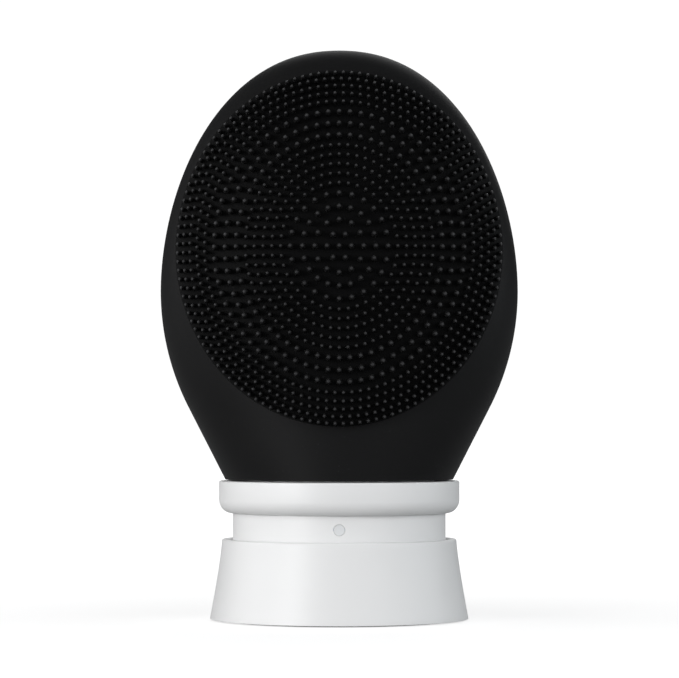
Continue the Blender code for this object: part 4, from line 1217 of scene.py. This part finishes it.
    def collar(self) -> None:
        """Ring with a crisp top edge, rounded in towards the neck below."""
        low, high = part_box("collar_ring")
        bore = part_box("neck_housing")[1].x + self.gap
        corners = [Corner(bore, high.z), Corner(high.x, high.z, self.collar_round)]
        wall = high.x - bore
        for step in range(self.collar_steps + 1):
            angle = math.radians(90 * step / self.collar_steps)
            height = low.z + self.collar_rise * (1 - math.sin(angle))
            corners.append(Corner(bore + wall * math.cos(angle), height))
        ring = self.bench.turned(corners, closed=True)
        self.bench.piece("collar_band", ring, Slot.WHITE_PLASTIC, Body.SCRUBBER, ("collar_ring",))


# ---------------------------------------------------------------- head


@dataclass
class HeadForm:
    """The outline of the head."""

    mouth: float
    top: float
    half_width: float = 40.0 * MM
    half_depth: float = 24.2 * MM
    mouth_radius: float = 25.5 * MM
    widest_up: float = 42.1 * MM
    arc_height: float = 26.0 * MM
    crown_rise: float = 1.89
    crown_width: float = 2.2
    section: float = 2.25
    blunt: float = 2.5

    def __post_init__(self) -> None:
        """Works out the slope of the lower flank and the arc above it."""
        self.widest = self.mouth + self.widest_up
        low, high = 0.0, math.radians(80)
        for _ in range(50):
            angle = (low + high) / 2
            straight = (self.widest_up - self.arc_height) * math.tan(angle)
            if self.arc_height * math.tan(angle / 2) + straight < self.half_width - self.mouth_radius:
                low = angle
            else:
                high = angle
        self.flank = angle
        self.arc_radius = self.arc_height / math.sin(angle)

    def width_at(self, height: float) -> float:
        """Half-width at a height.

        Args:
            height: Height above the floor.

        Returns:
            The head's half-width there.
        """
        if height >= self.widest:
            rise = (height - self.widest) / (self.top - self.widest)
            crown = max(0.0, 1 - rise**self.crown_rise)
            return self.half_width * crown ** (1 / self.crown_width)
        below = self.widest - height
        if below <= self.arc_height:
            return self.half_width - self.arc_radius + math.sqrt(self.arc_radius**2 - below**2)
        return self.mouth_radius + (height - self.mouth) * math.tan(self.flank)

    def depth_at(self, height: float) -> float:
        """Half-depth at a height.

        Args:
            height: Height above the floor.

        Returns:
            The head's half-depth there.
        """
        if height >= self.widest:
            rise = (height - self.widest) / (self.top - self.widest)
            return self.half_depth * max(0.0, 1 - rise**self.blunt) ** (1 / self.blunt)
        fall = min(1.0, (self.widest - height) / self.widest_up)
        return self.half_depth + (self.mouth_radius - self.half_depth) * fall**2 * (3 - 2 * fall)

    def power_at(self, height: float) -> float:
        """Squareness of the section at a height."""
        return 2 + (self.section - 2) * min(1.0, max(0.0, (height - self.mouth) / self.widest_up))

    def surface(self, x: float, height: float) -> float:
        """Distance of the surface from the XZ plane.

        Args:
            x: Place across the head.
            height: Height above the floor.

        Returns:
            The distance, forward or back.
        """
        power = self.power_at(height)
        share = min(1.0, abs(x) / max(self.width_at(height), MM))
        return self.depth_at(height) * (1 - share**power) ** (1 / power)

    def on_section(self, across: float, along: float, height: float) -> Vector:
        """The point of a section that a direction from the axis meets.

        Args:
            across: How far the direction goes across.
            along: How far it goes back.
            height: Height of the section.

        Returns:
            The point.
        """
        turn = math.atan2(along, across)
        power = 2 / self.power_at(height)
        cosine, sine = math.cos(turn), math.sin(turn)
        x = math.copysign(abs(cosine) ** power, cosine) * self.width_at(height)
        y = math.copysign(abs(sine) ** power, sine) * self.depth_at(height)
        return Vector((x, y, height))


class PointSize(Enum):
    """The two sizes of touch point, by the radius of their shafts."""

    THICK = 0.60 * MM
    FINE = 0.42 * MM


@dataclass(frozen=True)
class RingBand:
    """Neighbouring rings of touch points of one size.

    The rings are measured across the field: its first ring's radius, the step to the next, how much
    each step is shorter than the one before, and how many points each ring has.
    """

    size: PointSize
    start: float
    pitch: float
    counts: tuple[int, ...]
    closing: float = 0.0

    def radius(self, step: int) -> float:
        """Radius of one of the band's rings."""
        return self.start + self.pitch * step - self.closing * step * (step - 1) / 2


@dataclass
class Head:
    """The silicone sleeve and the touch points moulded on its front."""

    bench: Bench
    form: HeadForm
    wall: float = 1.6 * MM
    field_centre: float = 82.4 * MM
    tall: float = 1.085
    point_height: float = 3.55 * MM
    root: float = 0.5 * MM
    floor_margin: float = 0.7 * MM
    floor_step: float = 0.1 * MM
    floor_thickness: float = 0.4 * MM
    sides: int = 10
    staggered_from: int = 90
    sleeve_faces: tuple[int, int] = (144, 88)
    floor_faces: tuple[int, int] = (144, 72)
    button_hole: float = 7.2 * MM
    button_hole_start: float = 12.0 * MM
    button_hole_end: float = 36.0 * MM
    bands: tuple[RingBand, ...] = (
        RingBand(PointSize.THICK, 0.0, 2.65 * MM, (1, 6, 12, 20, 24)),
        RingBand(PointSize.FINE, 12.65 * MM, 1.92 * MM, (40, 48, 56, 60, 68)),
        RingBand(PointSize.THICK, 22.4 * MM, 2.4 * MM, (60, 64, 72)),
        RingBand(PointSize.FINE, 29.3 * MM, 1.72 * MM, (100, 106, 112, 117, 124), 0.12 * MM),
    )

    def build(self) -> None:
        """Builds the sleeve, the floor of its touch field and the points."""
        self.sleeve()
        self.field_floor()
        self.touch_points(PointSize.THICK, "touch_points_thick")
        self.touch_points(PointSize.FINE, "touch_points_fine")

    def sleeve(self) -> None:
        """Smooth silicone sleeve, open at the mouth, with a round hole for the button behind."""
        form = self.form
        bm = bmesh.new()
        around, upward = self.sleeve_faces
        bmesh.ops.create_uvsphere(bm, u_segments=around, v_segments=upward, radius=1.0)
        lower = form.widest_up * 1.05
        for vert in bm.verts:
            reach = form.top - form.widest if vert.co.z > 0 else lower
            height = form.widest + vert.co.z * reach
            if math.hypot(vert.co.x, vert.co.y) < 1e-5:
                vert.co = Vector((0.0, 0.0, height))
            else:
                vert.co = form.on_section(vert.co.x, vert.co.y, height)
        cut_below(bm, form.mouth)
        bmesh.ops.recalc_face_normals(bm, faces=bm.faces)
        bmesh.ops.solidify(bm, geom=bm.faces[:], thickness=self.wall)
        cut_below(bm, form.mouth)
        low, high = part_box("power_button")
        middle = (low + high) / 2
        start, end = self.button_hole_start, self.button_hole_end
        sides = [Corner(self.button_hole, start), Corner(self.button_hole, end)]
        hole = self.bench.turned([Corner(0, start), *sides, Corner(0, end)], 96)
        faced(hole, BACKWARD, (0, 0, middle.z))
        self.bench.piece(
            "head_sleeve", bm, Slot.BLACK_SILICONE, Body.SCRUBBER, ("silicone_sleeve",), (hole,)
        )

    def field_floor(self) -> None:
        """Floor of the touch field: a step proud of the sleeve, duller than it, and darker as painted
        shade among the touch points.
        """
        last = self.bands[-1]
        across = last.radius(len(last.counts) - 1) + self.floor_margin
        upward = self.tall * (across - self.floor_margin) + self.floor_margin
        bm = bmesh.new()
        around, rings = self.floor_faces
        bmesh.ops.create_uvsphere(bm, u_segments=around, v_segments=rings, radius=1.0)
        cut_below(bm, 0.0)
        for vert in bm.verts:
            turn = math.atan2(vert.co.y, vert.co.x)
            share = math.acos(max(0.0, min(1.0, vert.co.z))) * 2 / math.pi
            x = across * share * math.cos(turn)
            z = self.field_centre + upward * share * math.sin(turn)
            vert.co = Vector((x, -self.form.surface(x, z) - self.floor_step, z))
        bm.normal_update()
        bm.faces.ensure_lookup_table()
        if bm.faces[0].normal.y > 0:
            bmesh.ops.reverse_faces(bm, faces=bm.faces)
        bmesh.ops.solidify(bm, geom=bm.faces[:], thickness=self.floor_thickness)
        bmesh.ops.recalc_face_normals(bm, faces=bm.faces)
        # Darker and less shiny than the sleeve: painted shade on the ground among the touch points.
        painted_shade_floor = Silicone(
            "touch_floor_painted_shade", (0.0030, 0.0030, 0.0032), 0.5, specular=0.03, bump=0.1, drift=0.08
        ).build()
        self.bench.piece(
            "touch_field_floor", bm, Slot.BLACK_SILICONE, Body.SCRUBBER, ("silicone_sleeve",), finish=painted_shade_floor
        )

    def places(self, size: PointSize) -> list[Vector]:
        """Where the points of one size stand on the front of the sleeve.

        Args:
            size: Which points.

        Returns:
            The middle of each point's root.
        """
        found = []
        number = 0
        for band in self.bands:
            for step, count in enumerate(band.counts):
                radius = band.radius(step)
                offset = 0.5 * (number % 2) if count > self.staggered_from else 0.0
                number += 1
                if band.size is not size:
                    continue
                for index in range(count):
                    angle = 2 * math.pi * (index + offset) / count
                    x = radius * math.cos(angle)
                    z = self.field_centre + self.tall * radius * math.sin(angle)
                    found.append(Vector((x, -self.form.surface(x, z), z)))
        return found

    def point_form(self, radius: float) -> bpy.types.Mesh:
        """One touch point along -Y from the origin: flared root, tapered shaft and domed tip.

        Args:
            radius: Radius of its shaft.

        Returns:
            Its mesh.
        """
        height = self.point_height
        profile = [
            Corner(0.0, -self.root),
            Corner(radius * 1.35, -self.root),
            Corner(radius * 1.12, 0.16 * height),
            Corner(radius * 0.92, height - radius * 0.85),
            Corner(radius * 0.66, height - radius * 0.25),
            Corner(0.0, height),
        ]
        bm = self.bench.turned(profile, self.sides)
        faced(bm, FORWARD)
        return as_mesh("touch_point_form", bm)

    def touch_points(self, size: PointSize, name: str) -> None:
        """Stands every point of one size on the sleeve, and marks how far up its point each place is.

        Args:
            size: Which points.
            name: Name of the piece.
        """
        form = self.point_form(size.value)
        bm = bmesh.new()
        for place in self.places(size):
            copy = form.copy()
            copy.transform(Matrix.Translation(place))
            bm.from_mesh(copy)
            bpy.data.meshes.remove(copy)
        bpy.data.meshes.remove(form)
        # Base colour darker than the sleeve's silicone: painted shade among the points. The paler tips are
        # a painted highlight.
        finish = PointSilicone(
            f"{name}_silicone", (0.0034, 0.0034, 0.0037), 0.42, specular=0.12, bump=0.1, drift=0.08
        ).build()
        made = self.bench.piece(
            name, bm, Slot.BLACK_SILICONE, Body.SCRUBBER, ("silicone_sleeve",), finish=finish
        )
        rise = made.data.attributes.new("rise", "FLOAT", "POINT")
        for vert in made.data.vertices:
            place = vert.co
            above = -place.y - self.form.surface(place.x, place.z)
            rise.data[vert.index].value = above / self.point_height


@dataclass
class PowerButton:
    """The round button behind the head."""

    bench: Bench
    radius: float = 6.6 * MM
    flange: float = 1.8 * MM
    flange_thickness: float = 1.4 * MM
    stem_radius: float = 2.0 * MM
    dish: float = 0.35 * MM
    stem_length: float = 2.2 * MM

    def build(self) -> None:
        """Button with a dished face, a flange behind the shell and a stem to the switch."""
        low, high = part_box("power_button")
        middle = (low + high) / 2
        inner = low.y + self.stem_length
        face = high.y
        corners = [
            Corner(0.0, face - self.dish),
            Corner(self.radius * 0.30, face - self.dish * 0.9),
            Corner(self.radius * 0.58, face - self.dish * 0.45),
            Corner(self.radius * 0.78, face - 0.02 * MM, 0.3 * MM),
            Corner(self.radius, face - 0.08 * MM, 0.45 * MM),
            Corner(self.radius, inner + self.flange_thickness),
            Corner(self.radius + self.flange, inner + self.flange_thickness),
            Corner(self.radius + self.flange, inner),
            Corner(self.stem_radius, inner),
            Corner(self.stem_radius, low.y),
            Corner(0.0, low.y),
        ]
        bm = self.bench.turned(corners, 96)
        faced(bm, BACKWARD, (0, 0, middle.z))
        self.bench.piece("button_cap", bm, Slot.BLACK_PLASTIC, Body.BUTTON, ("power_button",))


# ---------------------------------------------------------------- carried-over solids


@dataclass
class InnerWorks:
    """The solids inside, which keep their shapes and get their finishes."""

    bench: Bench

    def build(self) -> None:
        """Gives every solid that still shows its slot's finish."""
        slots = {part["node"]: part["material_slot"] for part in frame["record"]["subparts"]}
        upright = BoardLacquer(
            "circuit_board_upright", (0.018, 0.15, 0.065), 0.35, bump=0.3, upright=True
        ).build()
        for name, node in frame["nodes"].items():
            finish = self.bench.dress[Slot(slots[name])]
            if name == "main_board":
                finish = upright
            node.data.materials.clear()
            node.data.materials.append(finish)
            LOG.info("%s: finish %s", name, finish.name)


# ---------------------------------------------------------------- studio


@dataclass(frozen=True)
class SoftBox:
    """A large soft light."""

    name: str
    place: Triple
    size: float
    power: float
    tint: Colour = (1.0, 1.0, 1.0)

    def build(self, target: Triple) -> None:
        """Puts the light in place, turned to what it lights.

        Args:
            target: The point that it faces.
        """
        data = bpy.data.lights.new(self.name, "AREA")
        data.shape = "SQUARE"
        data.size = self.size
        data.energy = self.power
        data.color = self.tint
        aimed(self.name, data, self.place, target)


@dataclass
class Studio:
    """Camera, pale floor, soft lights and a white surround."""

    view_width: float = 152.2 * MM
    camera_place: Triple = (0.06 * MM, -733.0 * MM, 45.8 * MM)
    aim: Triple = (0.06 * MM, 0.0, 62.8 * MM)
    lights_target: Triple = (0.0, 0.0, 70.0 * MM)
    light_before: float = 0.98
    light_behind: float = 0.04
    light_edge: float = -0.1
    floor_near: float = 0.74
    floor_far: float = 1.0
    boxes: tuple[SoftBox, ...] = (
        SoftBox("key_left", (-0.85, -0.90, 0.19), 0.5, 7.2),
        SoftBox("side_left", (-1.3, -0.1, 0.3), 1.2, 9.4),
        SoftBox("front_right", (0.9, -1.1, 0.4), 0.9, 3.2),
        SoftBox("side_right", (1.3, -0.1, 0.35), 1.0, 6.8, (0.92, 0.97, 1.0)),
        SoftBox("rear_soft", (0.2, 1.5, 0.8), 1.0, 4.0),
    )

    def build(self) -> None:
        """Builds everything round the object."""
        self.camera()
        self.floor()
        self.world()
        for box in self.boxes:
            box.build(self.lights_target)
        bpy.context.scene.view_settings.view_transform = "Standard"

    def camera(self) -> None:
        """Long lens, level with the lower part of the object."""
        away = (Vector(self.aim) - Vector(self.camera_place)).length
        data = bpy.data.cameras.new("camera")
        data.lens = data.sensor_width * away / self.view_width
        data.clip_start = 0.01
        bpy.context.scene.camera = aimed("camera", data, self.camera_place, self.aim)

    def floor(self) -> None:
        """Wide pale floor: whiter to look at further out, and a quiet reflector."""
        bm = bmesh.new()
        bmesh.ops.create_grid(bm, x_segments=4, y_segments=4, size=6.0)
        made = in_scene("floor", as_mesh("floor", bm))
        finish = bpy.data.materials.new("floor_paper")
        finish.use_nodes = True
        graph = Graph(finish.node_tree)
        paper = finish.node_tree.nodes["Principled BSDF"]
        paper.inputs["Base Color"].default_value = (0.45, 0.45, 0.45, 1.0)
        paper.inputs["Roughness"].default_value = 0.9
        paper.inputs["Specular IOR Level"].default_value = 0.0
        glow = graph.add("ShaderNodeEmission")
        rays = graph.add("ShaderNodeLightPath")
        place = graph.add("ShaderNodeTexCoord")
        distance = graph.add("ShaderNodeVectorMath", operation="LENGTH")
        graph.feed(distance.inputs[0], place.outputs["Object"])
        white = graph.spread(distance.outputs["Value"], self.floor_near, self.floor_far, 0.05, 0.35)
        graph.feed(glow.inputs["Strength"], graph.math("MULTIPLY", rays.outputs["Is Camera Ray"], white))
        both = graph.add("ShaderNodeAddShader")
        graph.feed(both.inputs[0], paper.outputs[0])
        graph.feed(both.inputs[1], glow.outputs[0])
        graph.feed(finish.node_tree.nodes["Material Output"].inputs["Surface"], both.outputs[0])
        made.data.materials.append(finish)

    def world(self) -> None:
        """White to look at. As a light it is stronger before the object than behind it."""
        world = bpy.data.worlds.new("surround")
        world.use_nodes = True
        graph = Graph(world.node_tree)
        place = graph.add("ShaderNodeTexCoord")
        parts = graph.add("ShaderNodeSeparateXYZ")
        graph.feed(parts.inputs[0], place.outputs["Generated"])
        lit = world.node_tree.nodes["Background"]
        lit.inputs["Color"].default_value = (0.97, 0.985, 1.0, 1.0)
        strength = graph.spread(
            parts.outputs["Y"], self.light_before, self.light_behind, -1.0, self.light_edge
        )
        graph.feed(lit.inputs["Strength"], strength)
        seen = graph.add("ShaderNodeBackground")
        seen.inputs["Color"].default_value = (1.0, 1.0, 1.0, 1.0)
        seen.inputs["Strength"].default_value = 1.05
        rays = graph.add("ShaderNodeLightPath")
        chosen = graph.add("ShaderNodeMixShader")
        graph.feed(chosen.inputs[0], rays.outputs["Is Camera Ray"])
        graph.feed(chosen.inputs[1], lit.outputs[0])
        graph.feed(chosen.inputs[2], seen.outputs[0])
        graph.feed(world.node_tree.nodes["World Output"].inputs["Surface"], chosen.outputs[0])
        bpy.context.scene.world = world


def main() -> None:
    """Builds the stand, the neck, the head, the button, the inner finishes and the studio."""
    logging.basicConfig(level=logging.INFO, format="%(message)s")
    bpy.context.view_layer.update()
    bench = Bench(finishes())
    sleeve_low, sleeve_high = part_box("silicone_sleeve")
    form = HeadForm(sleeve_low.z, sleeve_high.z)
    InnerWorks(bench).build()
    ChargingStand(bench).build()
    Neck(bench).build()
    Head(bench, form).build()
    PowerButton(bench).build()
    Studio().build()
    LOG.info("%d pieces made", len(bench.made))


if __name__ == "__main__":
    main()
